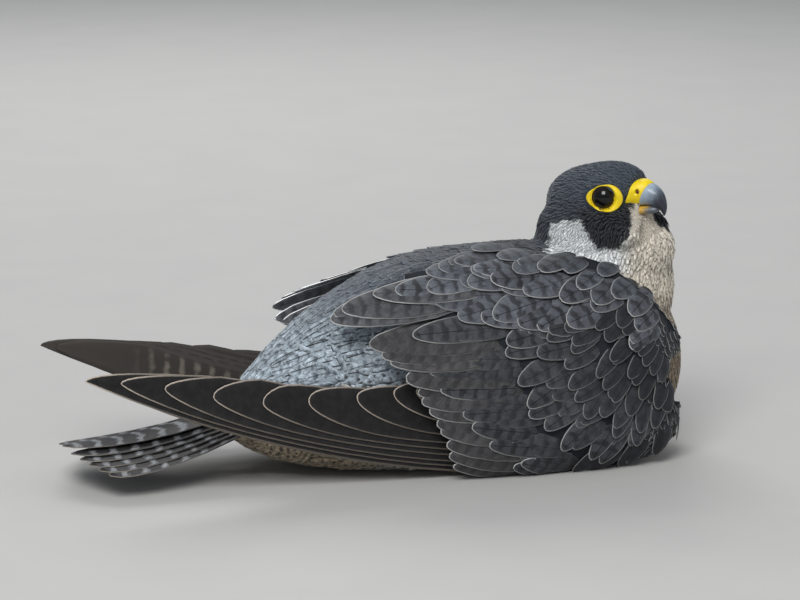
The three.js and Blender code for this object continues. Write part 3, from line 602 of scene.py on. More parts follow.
def shell_point(x, turn, side):
    """A point on the wing's shell: turn is 0 at the top, 90 at the side and 180 at the bottom."""
    top, bottom = along(SHELL_TOP, x) - (LEFT_WING_DROP if side == LEFT else 0), along(SHELL_BOTTOM, x)
    middle = bottom + (top - bottom) * 0.46
    power = UPPER_POWER if turn < 90 else LOWER_POWER
    angle = math.radians(turn)
    up = math.copysign(abs(math.cos(angle)) ** (2 / power), math.cos(angle))
    out = abs(math.sin(angle)) ** (2 / power)
    reach = top - middle if turn < 90 else middle - bottom
    return np.array((x, side * along(SHELL_HALF, x) * out, middle + reach * up))


def shell_turn(x, z):
    """How far round the right wing's shell a height lies."""
    top, bottom = along(SHELL_TOP, x), along(SHELL_BOTTOM, x)
    middle = bottom + (top - bottom) * 0.46
    above = z > middle
    reach = top - middle if above else middle - bottom
    power = UPPER_POWER if above else LOWER_POWER
    angle = math.degrees(math.acos(min(abs(z - middle) / reach, 1) ** (power / 2)))
    return angle if above else 180 - angle


def shell_frame(x, turn, side):
    """A point on the shell and its outward normal."""
    here = shell_point(x, turn, side)
    ahead = shell_point(x + 0.5, turn, side) - here
    round_it = shell_point(x, turn + 0.5, side) - here
    normal = unit(np.cross(ahead, round_it))
    return here, normal if normal[1] * side > 0 else -normal


def bend(values, t):
    p, q, r = values
    return p * (1 - t) * (1 - 2 * t) + 4 * q * t * (1 - t) + r * t * (2 * t - 1)


# Each row: count, the line of its tips as three points (x, z), headings (180 is straight back and
# 270 straight down), lengths, widths, lift of the tips, roll, jitter, tone, and the strengths of its
# bars, shafts and fringes. The left wing repeats the right one's layout on its own shell, with a
# few more tertials that lie further back.
# The coverts darken row by row towards the front and bottom of the wing, at the wrist: partly their own darker
# colour, partly painted shade on the side turned from the key light.
FRONT_COVERT_DARK_AND_SHADE = (0.021, 0.022, 0.026)
COVERT = (0.054, 0.056, 0.063)
SCAPULAR = (0.088, 0.096, 0.11)
SECONDARY = (0.06, 0.059, 0.061)
TERTIAL = (0.082, 0.083, 0.088)
WING_ROWS = [
    (13, ((-89, 86), (-60, 53), (-40, 12)), (184, 180, 168), (84, 60), (23, 18), 2.2, 9, 0.5, SECONDARY,
     (0.5, 0.1, 1.0)),
    (4, ((-111, 98), (-104, 104), (-83, 111)), (191, 188, 184), (92, 76), (27, 25), 3.0, 7, 0.7, TERTIAL,
     (0.55, 0.5, 1.0)),
    (9, ((-46, 90), (-28, 46), (12, 9)), (184, 178, 160), (50, 42), (19, 16), 1.4, 7, 1.7, COVERT,
     (0.6, 0.5, 0.4)),
    (9, ((-64, 88), (-40, 48), (8, 3)), (185, 178, 162), (60, 46), (19, 16), 2.4, 7, 1.6, COVERT,
     (0.75, 0.85, 0.75)),
    (9, ((4, 90), (26, 42), (66, 14)), (188, 210, 240), (34, 27), (16, 13), 1.4, 6, 1.8, COVERT,
     (0.6, 0.7, 0.35)),
    (10, ((-10, 90), (12, 34), (54, 9)), (188, 208, 238), (38, 28), (16.5, 13.5), 2.5, 7, 1.8, COVERT,
     (0.75, 0.9, 0.6)),
    # From here on the rows darken towards the wrist: partly own colour, partly painted shade.
    (10, ((14, 90), (36, 46), (74, 14)), (194, 218, 248), (32, 24), (14.5, 12), 2.6, 6, 2.0,
     (0.038, 0.04, 0.046), (0.65, 0.85, 0.45)),
    (10, ((30, 90), (52, 52), (88, 22)), (204, 226, 252), (28, 22), (13.5, 11), 2.6, 6, 2.0,
     (0.03, 0.032, 0.037), (0.5, 0.75, 0.35)),
    (10, ((46, 90), (67, 58), (98, 33)), (212, 232, 258), (25, 20), (12.5, 10.5), 2.6, 6, 2.0, FRONT_COVERT_DARK_AND_SHADE,
     (0.45, 0.6, 0.3)),
    (9, ((60, 88), (79, 64), (106, 46)), (220, 238, 262), (23, 18), (12, 9.5), 2.5, 5, 2.0, FRONT_COVERT_DARK_AND_SHADE,
     (0.4, 0.5, 0.25)),
    (7, ((40, 4), (76, 5), (106, 14)), (206, 240, 264), (26, 19), (15, 11), 2.4, 5, 1.6, FRONT_COVERT_DARK_AND_SHADE,
     (0.4, 0.5, 0.35)),
    (7, ((-24, 98), (16, 93), (72, 76)), (188, 196, 216), (44, 26), (23, 15), 1.6, 4, 1.6, SCAPULAR,
     (0.6, 0.7, 0.4)),
    (8, ((-40, 100), (8, 95), (70, 79)), (188, 196, 214), (54, 27), (24, 16), 2.8, 5, 1.8, SCAPULAR,
     (0.8, 0.9, 0.75)),
    (7, ((-50, 112), (6, 112), (74, 90)), (187, 192, 212), (46, 25), (24, 15), 2.2, 4, 1.6, SCAPULAR,
     (0.7, 0.8, 0.5)),
    (8, ((-68, 113), (-3, 114), (68, 94)), (187, 191, 210), (58, 25), (25, 16), 3.2, 5, 1.8, SCAPULAR,
     (0.8, 0.9, 0.8)),
    (8, ((-50, 121), (2, 122), (64, 106)), (186, 190, 206), (44, 22), (23, 14), 2.8, 4, 1.8,
     (0.085, 0.095, 0.11), (0.75, 0.8, 0.6)),
    (8, ((-34, 128), (4, 127), (56, 117)), (184, 188, 202), (36, 19), (19, 12), 2.2, 3, 1.6,
     (0.06, 0.068, 0.08), (0.6, 0.6, 0.4)),
]
FAR_TERTIALS = (5, ((-117, 97), (-113, 87), (-100, 76)), (190, 187, 184), (84, 70), (25, 22), 2.6, 4, 0.8,
                TERTIAL, (0.5, 0.5, 0.9))
VANE_STATIONS = np.array((0, 0.15, 0.32, 0.5, 0.64, 0.76, 0.86, 0.93, 0.975, 1))
ROOT_DEPTH = 2.0
ROOT_SHARE = 0.3
VANE_CLEARANCE = 0.4
WING_VANE_THICKNESS = 0.4
WING_FRONT_X = 114
FRONT_HOLLOW = {"depth": 18, "share": 0.38, "spread": 0.14}


def core_turns(x):
    """The turns of the wing body's top and low edges at x."""
    return 27 + 38 * float(step(x, 52, WING_FRONT_X)), 148 - 24 * float(step(x, 70, WING_FRONT_X))


def core_front_x(share):
    """The wing's front edge, hollow between the shoulder and the wrist, where the breast bulges."""
    away = (share - FRONT_HOLLOW["share"]) / FRONT_HOLLOW["spread"]
    return WING_FRONT_X - FRONT_HOLLOW["depth"] * math.exp(-away * away)


def before_front(x, turn):
    top, low = core_turns(x)
    return x < core_front_x((turn - top) / (low - top)) - 1


def wing_vanes(side, draws):
    """Frames, reaches, lengths, tones and marks of all the vanes of one closed wing."""
    vanes = []
    shares = vane_share(VANE_STATIONS, broadest=0.42, root=0.45, bluntness=1.9)
    rows = [FAR_TERTIALS] + WING_ROWS if side == LEFT else WING_ROWS
    for count, line, headings, long, wide, lift, roll, jitter, tone, mark in rows:
        for i in range(count):
            t = min(max((i + 0.3 * draws.normal()) / (count - 1), 0), 1)
            tip = np.array([bend([p[k] for p in line], t) for k in (0, 1)]) + draws.normal(0, jitter, 2)
            tip[1] = max(tip[1], 1.5)
            heading = math.radians(bend(headings, t) + 3 * jitter * draws.normal(0, 0.8))
            length = (long[0] + (long[1] - long[0]) * t) * (1 + draws.normal(0, 0.03))
            wide_here = (wide[0] + (wide[1] - wide[0]) * t) * (1 + draws.normal(0, 0.05))
            root = tip - length * np.array((math.cos(heading), math.sin(heading)))
            if not before_front(root[0] * 0.65 + tip[0] * 0.35, shell_turn(*(root * 0.65 + tip * 0.35))):
                continue
            lift_here = lift + draws.normal(0, 0.25)
            spots, outs = [], []
            for s in VANE_STATIONS:
                x, z = root + (tip - root) * s
                here, out_way = shell_frame(x, shell_turn(x, z), side)
                if s < ROOT_SHARE:
                    height = -ROOT_DEPTH + (ROOT_DEPTH + VANE_CLEARANCE) * s / ROOT_SHARE
                else:
                    rising = ((s - ROOT_SHARE) / (1 - ROOT_SHARE)) ** 0.8
                    height = VANE_CLEARANCE + (lift_here - VANE_CLEARANCE) * rising
                spots.append(here + out_way * height)
                outs.append(out_way)
            spots, outs = np.array(spots), np.array(outs)
            way = unit(np.gradient(spots, axis=0))
            across = unit(np.cross(outs, way))
            across *= np.where(across[:, 2:] > 0, -1, 1)
            tilt = math.radians(roll + draws.normal(0, 1.2))
            across = unit(across * math.cos(tilt) + outs * math.sin(tilt))
            outward = np.sum(np.cross(across, way) * outs, 1, keepdims=True)
            webs = np.array((1.12, 0.88))
            webs = np.where(outward < 0, webs[::-1], webs)
            across = np.where(outward < 0, -across, across)
            ripple = 1 + draws.normal(0, 0.02, (len(VANE_STATIONS), 2))
            reach = wide_here / 2 * shares[:, None] * ripple * webs
            vanes.append((spots, across, unit(np.cross(across, way)), reach, length,
                          *(np.array(value) * (1 + draws.normal(0, 0.12)) for value in (tone, mark))))
    return [np.array(column) for column in zip(*vanes)]


# Wing undersides painted 3.6 times brighter: partly paler feather undersides, partly painted light on the far
# tertials, which face away from the key light.
wing_finish = feather_finish("wing_feathers", 8.5, (0.02, 0.02, 0.023), (0.55, 0.55, 0.54), 0.75, 0.62, 0.05,
                             under=3.6)
for side in (RIGHT, LEFT):
    middle, across, normal, reach, *rest = wing_vanes(side, np.random.default_rng(16 + side))
    wing = vane_mesh("wing_feathers_" + SIDE_NAMES[side], middle, across, normal, reach, VANE_STATIONS,
                     *rest, cells(len(middle)), thickness=WING_VANE_THICKNESS, camber=0.13)
    wing.data.materials.append(wing_finish)
    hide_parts("wing_" + SIDE_NAMES[side])
    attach(wing, "root")


# Wing body
# The flesh and short feathers of the folded arm, under the coverts: a closed block from the
# wing's shell down into the flank, rounded at the wrist.
WING_REAR_X = -60
BODY_DEPTH = 20
BODY_INSET = 0.5
HAND_FRONT_X = -22.1


def closed_piece(name, points, faces):
    """A smooth closed object from points in millimetres, its faces turned outward."""
    mesh = bpy.data.meshes.new(name)
    mesh.from_pydata([tuple(p) for p in np.asarray(points) * MM], [], faces)
    shape = bmesh.new()
    shape.from_mesh(mesh)
    bmesh.ops.recalc_face_normals(shape, faces=shape.faces)
    shape.to_mesh(mesh)
    shape.free()
    mesh.polygons.foreach_set("use_smooth", [True] * len(mesh.polygons))
    piece = bpy.data.objects.new(name, mesh)
    bpy.context.collection.objects.link(piece)
    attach(piece, "root")
    return piece


def wing_body(side):
    """A closed grid: outer face just inside the shell, inner face inside the flank."""
    long, round_it = 48, 30
    faces = []
    outer, inner = [], []
    for i in range(long + 1):
        for j in range(round_it + 1):
            share = j / round_it
            low = float(step(share, 0.2, 0.45))
            rear = WING_REAR_X + (HAND_FRONT_X - WING_REAR_X) * low
            x = rear + (core_front_x(share) - rear) * i / long
            turn_top, turn_low = core_turns(x)
            here, out_way = shell_frame(x, turn_top + (turn_low - turn_top) * share, side)
            outer.append(here - out_way * BODY_INSET)
            depth = BODY_DEPTH * (1 - 0.55 * float(step(x, 90, WING_FRONT_X)))
            inner.append(here - out_way * depth)
    points = np.maximum(np.array(outer + inner), (-999, -999, 0.2))
    across = round_it + 1
    total = len(outer)
    for i in range(long):
        for j in range(round_it):
            a = i * across + j
            faces.append((a, a + across, a + across + 1, a + 1))
            faces.append((total + a, total + a + 1, total + a + across + 1, total + a + across))
    for i in range(long):
        for j in (0, round_it):
            a, b = i * across + j, (i + 1) * across + j
            faces.append((a, total + a, total + b, b))
    for j in range(round_it):
        for i in (0, long):
            a, b = i * across + j, i * across + j + 1
            faces.append((a, b, total + b, total + a))
    return closed_piece("wing_body_" + SIDE_NAMES[side], points, faces)


wing_bodies = {}
for side in (RIGHT, LEFT):
    body = wing_body(side)
    add_colour(body.data, "tone", np.tile((*(MANTLE * 0.6), 1), (len(body.data.vertices), 1)))
    body.data.materials.append(skin_finish)
    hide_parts("wing_" + SIDE_NAMES[side])
    wing_bodies[side] = body


# Primaries
# Ten long stiff vanes in a stack, the innermost outside, black-brown with a thin pale rim. Each
# tip is its x, its height and the height of its lower edge at the root. Undersides have pale bars.
PRIMARY_TIPS = [(-60, 56, 38), (-74, 56, 33), (-97, 55, 27), (-127, 55, 22), (-155, 56, 18), (-185, 62, 14.5),
                (-214, 69, 10.5), (-240, 74, 7.5), (-261, 76.5, 4.6), (-252, 75, 4)]
HAND_REAR_X = -50
HAND_Y = 56
BLADE_LEAN = 0.12
BLADE_SPLAY = 0.055
BLADE_WIDTH = 28
STACK_STEP = 0.95
LEFT_BLADE_DROP = 4
UPPER_NOSE = 42
LOWER_NOSE = 58
SHAFT_SHARE = 0.38
UNDER_BAR_SPACING = 9.5
FAN_START_X = -37.6
PRIMARY_STATIONS = 1 - (1 - np.arange(15) / 14) ** 2
PRIMARY_TONE = np.array((0.016, 0.0145, 0.0148))

primary_finish = feather_finish(
    "flight_feathers", 11, (0.008, 0.008, 0.009), (0.5, 0.43, 0.36), 0.95, 0.5, 0.05)
desk = NodeDesk(primary_finish.node_tree)
base_colour = primary_finish.node_tree.nodes["Principled BSDF"].inputs["Base Color"]
top_colour = base_colour.links[0].from_socket
from_rim, underneath, _ = desk.uv("rim")
from_tip = desk.uv("shaft")["Y"]
pale_wave = desk.math("SINE", desk.times(from_tip, 2 * math.pi / UNDER_BAR_SPACING))
pale_wave = desk.math("ADD", pale_wave, desk.math("MULTIPLY_ADD", desk.noise(160), 3.0, -1.6))
pale_bars = desk.times(
    desk.ramp(pale_wave, -0.2, 1.3), 0.6, desk.ramp(from_rim, 1, 6), desk.ramp(from_tip, 45, 70))
under_colour = desk.blend(pale_bars, (0.06, 0.053, 0.048, 1), (0.3, 0.265, 0.22, 1))
desk.set(base_colour, desk.blend(underneath, top_colour, under_colour))


def blade_y(x, z):
    return HAND_Y + BLADE_SPLAY * (HAND_REAR_X - x) - BLADE_LEAN * (z - 35)


def nose(share):
    return np.sqrt(1 - (1 - np.clip(share, 0, 1)) ** 2)


def blade_edges(tip_x, tip_z, low_z, x):
    """The heights of a primary's two edges: they follow the stack's lines and meet at its tip."""
    def low(run):
        return low_z + 0.15 * run + 0.00076 * run * run

    def high(run):
        return np.minimum(63.2 + 0.045 * run + 0.0002 * run * run, low(run) + BLADE_WIDTH)

    run, tip_run = FAN_START_X - x, FAN_START_X - tip_x
    lower = low(run) + (tip_z - low(tip_run)) * (1 - nose((x - tip_x) / LOWER_NOSE))
    upper = high(run) + (tip_z - high(tip_run)) * (1 - nose((x - tip_x) / UPPER_NOSE))
    return lower, upper


for side in (RIGHT, LEFT):
    middles, reaches, lengths = [], [], []
    root_x = HAND_REAR_X + 24
    for k, (tip_x, tip_z, low_z) in enumerate(PRIMARY_TIPS):
        stack = STACK_STEP * ((len(PRIMARY_TIPS) - 1) / 2 - k)
        x = root_x + (tip_x - root_x) * PRIMARY_STATIONS
        lower, upper = blade_edges(tip_x, tip_z, low_z, x)
        drop = LEFT_BLADE_DROP if side == LEFT else 0
        shaft_z = np.maximum(lower + SHAFT_SHARE * (upper - lower) - drop, 1)
        down_web = np.minimum(SHAFT_SHARE * (upper - lower), shaft_z - 0.6) + 0.05
        up_web = (1 - SHAFT_SHARE) * (upper - lower) + 0.05
        middles.append(np.stack([x, side * (blade_y(x, shaft_z) + stack), shaft_z], 1))
        webs = [down_web, up_web] if side == RIGHT else [up_web, down_web]
        reaches.append(np.stack(webs, 1))
        lengths.append(root_x - tip_x)
    middle, reach, length = np.array(middles), np.array(reaches), np.array(lengths, float)
    upward = unit(np.array((0, -side * BLADE_LEAN, 1.0)))
    across = np.broadcast_to(upward * -side, middle.shape)
    outward = unit(np.array((side * BLADE_SPLAY, side, BLADE_LEAN)))
    normal = np.broadcast_to(outward, middle.shape)
    count = len(middle)
    tone = PRIMARY_TONE * (1 + rng.normal(0, 0.08, (count, 1)))
    mark = np.tile((0.15, 0.35, 1.0), (count, 1))
    primaries = vane_mesh("primary_feathers_" + SIDE_NAMES[side], middle, across, normal, reach,
                          PRIMARY_STATIONS, length, tone, mark, cells(count), thickness=0.5, camber=0.0)
    primaries.data.materials.append(primary_finish)
    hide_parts("primaries_" + SIDE_NAMES[side])
    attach(primaries, "root")


# Tail
# Twelve broad vanes, the middle pair on top, lightly spread and barred with grey, their roots
# between the rump and the feathers under the tail.
TAIL_TIP_X = -263
TAIL_ROOT_X = -98
TAIL_PAIRS = 6
TAIL_STEP = 1.1
TAIL_LEVELLING = 0.0015
TAIL_BASE_X, TAIL_BASE_Z = -92, 55
TAIL_BEND_X, TAIL_BEND_Z = -166, 35
TAIL_SLOPE = (TAIL_BEND_Z - TAIL_BASE_Z) / (TAIL_BEND_X - TAIL_BASE_X)
TAIL_STATIONS = np.array((0, 0.15, 0.3, 0.45, 0.6, 0.72, 0.83, 0.91, 0.965, 1))


def tail_height(x):
    past = np.maximum(TAIL_BEND_X - x, 0)
    return TAIL_BASE_Z + TAIL_SLOPE * (x - TAIL_BASE_X) + past * past * TAIL_LEVELLING


tail_finish = feather_finish("tail_feathers", 13, (0.24, 0.25, 0.26), (0.36, 0.31, 0.25), 0.8, 0.55, 0.05,
                             bar_start=0.15)
middles, reaches, lengths, normals, acrosses = [], [], [], [], []
for side in (RIGHT, LEFT):
    for pair in range(TAIL_PAIRS):
        length = (TAIL_ROOT_X - TAIL_TIP_X) * (1 - 0.018 * pair)
        spread = math.radians(1.2 + 2.5 * pair)
        drop = TAIL_STEP * (-1 if pair == 0 and side == RIGHT else pair)
        run = TAIL_STATIONS * length
        x = TAIL_ROOT_X - run * math.cos(spread)
        y = 1.5 + 1.1 * pair + run * math.sin(spread)
        roof = 0.1 * y * TAIL_STATIONS
        middle = np.stack([x, side * y, tail_height(x) + 1.9 - drop - roof], 1)
        way = unit(np.gradient(middle, axis=0))
        across = unit(np.stack([0 * x, 0 * x + 1, -side * 0.05 * TAIL_STATIONS * pair], 1))
        across = unit(across - way * np.sum(across * way, 1, keepdims=True))
        normal = np.cross(across, way)
        across = np.where(normal[:, 2:] < 0, -across, across)
        normal = unit(np.cross(across, way))
        half = (25 - 0.5 * pair) / 2 * vane_share(TAIL_STATIONS, 0.55, 0.45, 3.2)
        inner = half if pair == 0 else np.minimum(half, y - 0.2)
        inside_left = (across[:, 1] * side) > 0
        low = np.where(inside_left, inner, half)
        high = np.where(inside_left, half, inner)
        middles.append(middle)
        acrosses.append(across)
        normals.append(normal)
        reaches.append(np.stack([low, high], 1))
        lengths.append(length)
count = len(middles)
tail_tone = np.tile((0.018, 0.0165, 0.0175), (count, 1)) * (1 + rng.normal(0, 0.05, (count, 1)))
tail = vane_mesh("tail_feathers", *map(np.array, (middles, acrosses, normals, reaches)), TAIL_STATIONS,
                 np.array(lengths, float), tail_tone, np.tile((0.9, 0.4, 0.8), (count, 1)), cells(count),
                 thickness=0.45, camber=0.04)
tail.data.materials.append(tail_finish)
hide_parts("tail")
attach(tail, "root")


# Eyes
# A wet dark brown eye, set in a ring of bare yellow skin that widens in front towards the bill,
# with a thin dark lid edge inside it.
EYE_AT = np.array((12.5, 14.8, 7.5))
EYE_RADIUS = 8.2
RING_INNER = 6.8
RING_THICKNESS = 1.3
RING_RAMP = 2.4


def eye_look(side):
    look = np.array((0.34, side, 0.03))
    return unit(look @ head_turn.T)


def eye_frame(side):
    """The turn that takes +Z to the way the eye looks and +X towards the bill, and the eye's middle."""
    look = Vector(eye_look(side))
    ahead = Vector(np.array((1.0, 0, 0)) @ head_turn.T)
    ahead = (ahead - look * ahead.dot(look)).normalized()
    up = look.cross(ahead)
    turn = Matrix((ahead, up, look)).transposed()
    centre = Vector(from_head([EYE_AT * (1, side, 1)])[0]) * MM
    return turn, centre


def eye_finish(side):
    """A dark iris and a black pupil, by how far a place lies along the way the eye looks."""
    made, desk, shader = new_finish("eye_" + SIDE_NAMES[side], {
        "Roughness": 0.12, "Specular IOR Level": 0.25, "Coat Weight": 0.3, "Coat Roughness": 0.02})
    turn, centre = eye_frame(side)
    offset = desk.fed("ShaderNodeVectorMath", (desk.place(), centre), operation="SUBTRACT")
    ahead = desk.fed("ShaderNodeVectorMath", (offset.outputs[0], turn.col[2]), operation="DOT_PRODUCT")
    radius = EYE_RADIUS * MM
    pupil = desk.ramp(ahead.outputs["Value"], radius * 0.86, radius * 0.885)
    iris = desk.blend(desk.noise(900), (0.004, 0.0025, 0.002, 1), (0.012, 0.007, 0.005, 1))
    desk.set(shader.inputs["Base Color"], desk.blend(pupil, iris, (0.001, 0.001, 0.001, 1)))
    return made


ring_finish, desk, shader = new_finish("bare_yellow_skin", {
    "Roughness": 0.45, "Subsurface Weight": 0.05, "Subsurface Scale": 0.001})
wax = desk.ramp(desk.noise(240, 5), 0.3, 0.7)
desk.set(shader.inputs["Base Color"], desk.blend(wax, (0.84, 0.6, 0.004, 1), (0.95, 0.74, 0.01, 1)))
desk.bump(shader, desk.pebbles(2200), 0.3, 0.00015)
lid_finish = mottled_finish("dark_lid_edge", {"Roughness": 0.6, "Specular IOR Level": 0.2}, (800,),
                            (0.02, 0.014, 0.008), (0.09, 0.055, 0.012))


def surface_tree(mesh):
    """A search tree over a mesh, for rays and nearest places."""
    shape = bmesh.new()
    shape.from_mesh(mesh)
    made = BVHTree.FromBMesh(shape)
    shape.free()
    return made


def ball(name, segments, rings, radius, moved, finish):
    """A sphere at the origin whose points are then moved one by one."""
    bpy.ops.object.select_all(action="DESELECT")
    bpy.ops.mesh.primitive_uv_sphere_add(segments=segments, ring_count=rings, radius=radius)
    piece = bpy.context.object
    piece.name = name
    for vertex in piece.data.vertices:
        vertex.co = moved(vertex.co)
    bpy.ops.object.shade_smooth()
    piece.data.materials.append(finish)
    return piece


def ring_reach(angle, side):
    """How far the bare skin reaches round the eye: far in front, a little behind, least above."""
    ahead, up = np.cos(angle), -side * np.sin(angle)
    return 7.9 - 0.4 * up + 4.4 * np.maximum(ahead, 0) ** 1.5 + 2.6 * np.maximum(-ahead, 0) ** 8


def eye_ring(name, side, inner, reach_of, bulge, lift):
    """A closed ring from the eyeball out over the skin, which a ray finds under each of its points."""
    turn, centre = eye_frame(side)
    look = turn.col[2]
    around, across = 72, 9
    points = []
    for i in range(around):
        angle = 2 * math.pi * i / around
        top = []
        for k in range(across):
            share = k / (across - 1)
            radius = inner + (float(reach_of(angle, side)) - inner) * share
            flat = Vector((math.cos(angle) * radius, math.sin(angle) * radius, 0))
            start = centre + turn @ (flat + Vector((0, 0, 22))) * MM
            hit = skin_tree.ray_cast(start, -look, 0.045)[0]
            ball = math.sqrt(max(EYE_RADIUS ** 2 - radius ** 2, 0))
            skin_height = (hit - centre).dot(look) / MM + lift if hit else ball
            edge = math.sqrt(EYE_RADIUS ** 2 - inner ** 2)
            height = edge + (skin_height - edge) * float(step(radius - inner, 0, RING_RAMP))
            height = max(height, ball + 0.1) + bulge * math.sin(math.pi * share)
            top.append((flat, height))
        for flat, height in top + [(flat, height - RING_THICKNESS) for flat, height in top[::-1]]:
            points.append(np.array(centre) / MM + np.array(turn @ Vector((flat.x, flat.y, height))))
    rim = 2 * across
    faces = []
    for i in range(around):
        for k in range(rim):
            a, b = i * rim + k, i * rim + (k + 1) % rim
            c, d = (i + 1) % around * rim + (k + 1) % rim, (i + 1) % around * rim + k
            faces.append((a, b, c, d))
    return closed_piece(name, points, faces)


skin_tree = surface_tree(skin.data)
for side in (RIGHT, LEFT):
    turn, centre = eye_frame(side)
    eyeball = ball("eyeball_" + SIDE_NAMES[side], 48, 32, EYE_RADIUS * MM, lambda co: turn @ co + centre,
                   eye_finish(side))
    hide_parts("eye_" + SIDE_NAMES[side])
    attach(eyeball, "root")
    skin_ring = eye_ring("eye_ring_" + SIDE_NAMES[side], side, RING_INNER, ring_reach, 0.55, 1.1)
    skin_ring.data.materials.append(ring_finish)
    lid = eye_ring("lid_edge_" + SIDE_NAMES[side], side, RING_INNER - 0.35,
                   lambda angle, side: RING_INNER + 0.3, 0.4, 0)
    lid.data.materials.append(lid_finish)


# Bill and cere
# A short hooked bill with a tooth behind its tip, pale blue-grey at the base and dark at the
# tip, under a swollen yellow cere with round nostrils, each with its small peg.
UPPER_BILL = [(31.5, 8.2, 24, 7.2, 7.0), (34.5, 7.9, 28, 7.0, 6.8), (37.5, 7.1, 35, 6.4, 6.1),
              (40.5, 5.3, 46, 5.4, 5.1), (43, 2.7, 60, 3.9, 3.7), (44.8, -0.4, 74, 2.4, 2.2),
              (45.4, -3.2, 85, 1.15, 1.0), (45.4, -4.8, 90, 0.3, 0.25)]
LOWER_BILL = [(24, -2.0, 0, 2.8, 7.4), (29, -1.9, 0, 2.8, 6.6), (35, -1.6, 2, 2.7, 5.2),
              (39, -1.3, 6, 2.3, 3.9), (41.2, -1.3, 12, 1.5, 2.5), (42, -1.5, 20, 0.5, 1.0)]
CERE = [(20.5, 6.4, 8, 9.7, 11.5), (25.5, 7.8, 18, 9.5, 10.2), (29.5, 8.6, 23, 8.8, 8.9),
        (32.2, 8.5, 25, 8.0, 7.9), (33.7, 8.3, 26, 7.4, 7.3)]


def smooth_rows(sections, steps):
    """More sections, on a smooth curve through the given ones."""
    given = np.array(sections, float)
    fine_at = np.linspace(0, len(given) - 1, steps)
    slopes = np.gradient(given, axis=0)
    k = np.clip(fine_at.astype(int), 0, len(given) - 2)
    t = (fine_at - k)[:, None]
    a, b = given[k], given[k + 1]
    return a + (b - a) * t * t * (3 - 2 * t) + slopes[k] * t * (1 - t) ** 2 + slopes[k + 1] * t * t * (t - 1)


def section_mesh(name, sections, steps, sides, shape):
    """A closed beam through leaning sections of x, height, lean in degrees, half height and half width;
    shape(angle, section share) returns its out and up factors."""
    rows = smooth_rows(sections, steps)
    verts, faces = [], []
    for i, (x, z, lean, high, half) in enumerate(rows):
        tilt = math.radians(lean)
        for j in range(sides):
            angle = 2 * math.pi * j / sides
            out, up = shape(angle, i / (steps - 1))
            up *= high
            verts.append((x + up * math.sin(tilt), out * half, z + up * math.cos(tilt)))
    for i in range(steps - 1):
        for j in range(sides):
            a, b = i * sides + j, i * sides + (j + 1) % sides
            faces.append((a, b, b + sides, a + sides))
    faces.append(tuple(range(sides))[::-1])
    faces.append(tuple(range((steps - 1) * sides, steps * sides)))
    return closed_piece(name, from_head(verts), faces)


def upper_shape(angle, share):
    """Oval, with a keel on top, a flat palate and a tooth on each cutting edge."""
    out, up = math.cos(angle), math.sin(angle)
    keel = max(up, 0) ** 6 * 0.05
    if up < 0:
        up *= 1.16 - 0.25 * share
    tooth = math.exp(-((share - 0.6) / 0.05) ** 2) * 0.28 * max(-math.sin(angle), 0) * abs(out) * 2
    return math.copysign(abs(out) ** 0.85, out), up + keel - tooth


def plain_oval(angle, share):
    out, up = math.cos(angle), math.sin(angle)
    return math.copysign(abs(out) ** 0.9, out), up


def cere_shape(angle, share):
    out, up = math.cos(angle), math.sin(angle)
    swell = 0.05 * math.sin(math.pi * share) * max(up, 0)
    return math.copysign(abs(out) ** (0.9 if up > 0 else 0.6), out) * (1 + swell), up * (1 + swell)


def head_axis(desk, k):
    """Object place along one of the head's own axes, in millimetres: 0 forward, 1 left or 2 up."""
    axis = head_turn[:, k]
    dot = desk.fed("ShaderNodeVectorMath", (desk.place(), tuple(axis / MM)), operation="DOT_PRODUCT")
    return desk.math("SUBTRACT", dot.outputs["Value"], float(HEAD_CENTRE @ axis))


def horn_finish(name, base, tip, low, high):
    """Horn that darkens from base to tip, with fine growth lines."""
    made, desk, shader = new_finish(name, {"Roughness": 0.32, "Coat Weight": 0.25})
    cloud = desk.noise(420, 6)
    reach = desk.math("SUBTRACT", head_axis(desk, 0), desk.times(head_axis(desk, 2), 0.55))
    reach = desk.math("ADD", reach, desk.times(cloud, 5.0))
    desk.set(shader.inputs["Base Color"], desk.blend(desk.ramp(reach, low, high), (*base, 1), (*tip, 1)))
    lines = desk.math("SINE", desk.times(reach, 7.0))
    desk.bump(shader, desk.math("ADD", lines, cloud), 0.2, 0.0001)
    return made


upper_bill = section_mesh("bill_upper_horn", UPPER_BILL, 44, 40, upper_shape)
upper_bill.data.materials.append(horn_finish("bill_horn", (0.32, 0.4, 0.48), (0.018, 0.022, 0.033), 32, 45))
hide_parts("bill_upper")
lower_bill = section_mesh("bill_lower_horn", LOWER_BILL, 30, 32, plain_oval)
lower_bill.data.materials.append(
    horn_finish("bill_lower_horn", (0.72, 0.42, 0.03), (0.1, 0.115, 0.14), 33, 42))
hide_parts("bill_lower")
cere = section_mesh("cere_skin", CERE, 40, 56, cere_shape)
cere.data.materials.append(ring_finish)

# Nostrils: round holes with a raised rim and a peg inside, pressed into the cere
NOSTRIL_AT = np.array((31.3, 8.1, 10.1))
NOSTRIL_RADIUS = 1.5
cere_places = in_head(mesh_arrays(cere.data)[0])
cere_moved = cere_places.copy()
for side in (RIGHT, LEFT):
    gap = np.hypot(cere_places[:, 0] - NOSTRIL_AT[0], cere_places[:, 2] - NOSTRIL_AT[2])
    on_side = cere_places[:, 1] * side > 3
    rim_up = np.exp(-((gap - NOSTRIL_RADIUS * 1.25) / 0.5) ** 2) * 0.45
    pressed = 1 - step(gap, NOSTRIL_RADIUS * 0.6, NOSTRIL_RADIUS * 1.15)
    cere_moved[:, 1] += np.where(on_side, side * (rim_up - 2.6 * pressed), 0)
cere.data.vertices.foreach_set("co", (from_head(cere_moved) * MM).astype(np.float32).ravel())
cere.data.update()
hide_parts("cere")


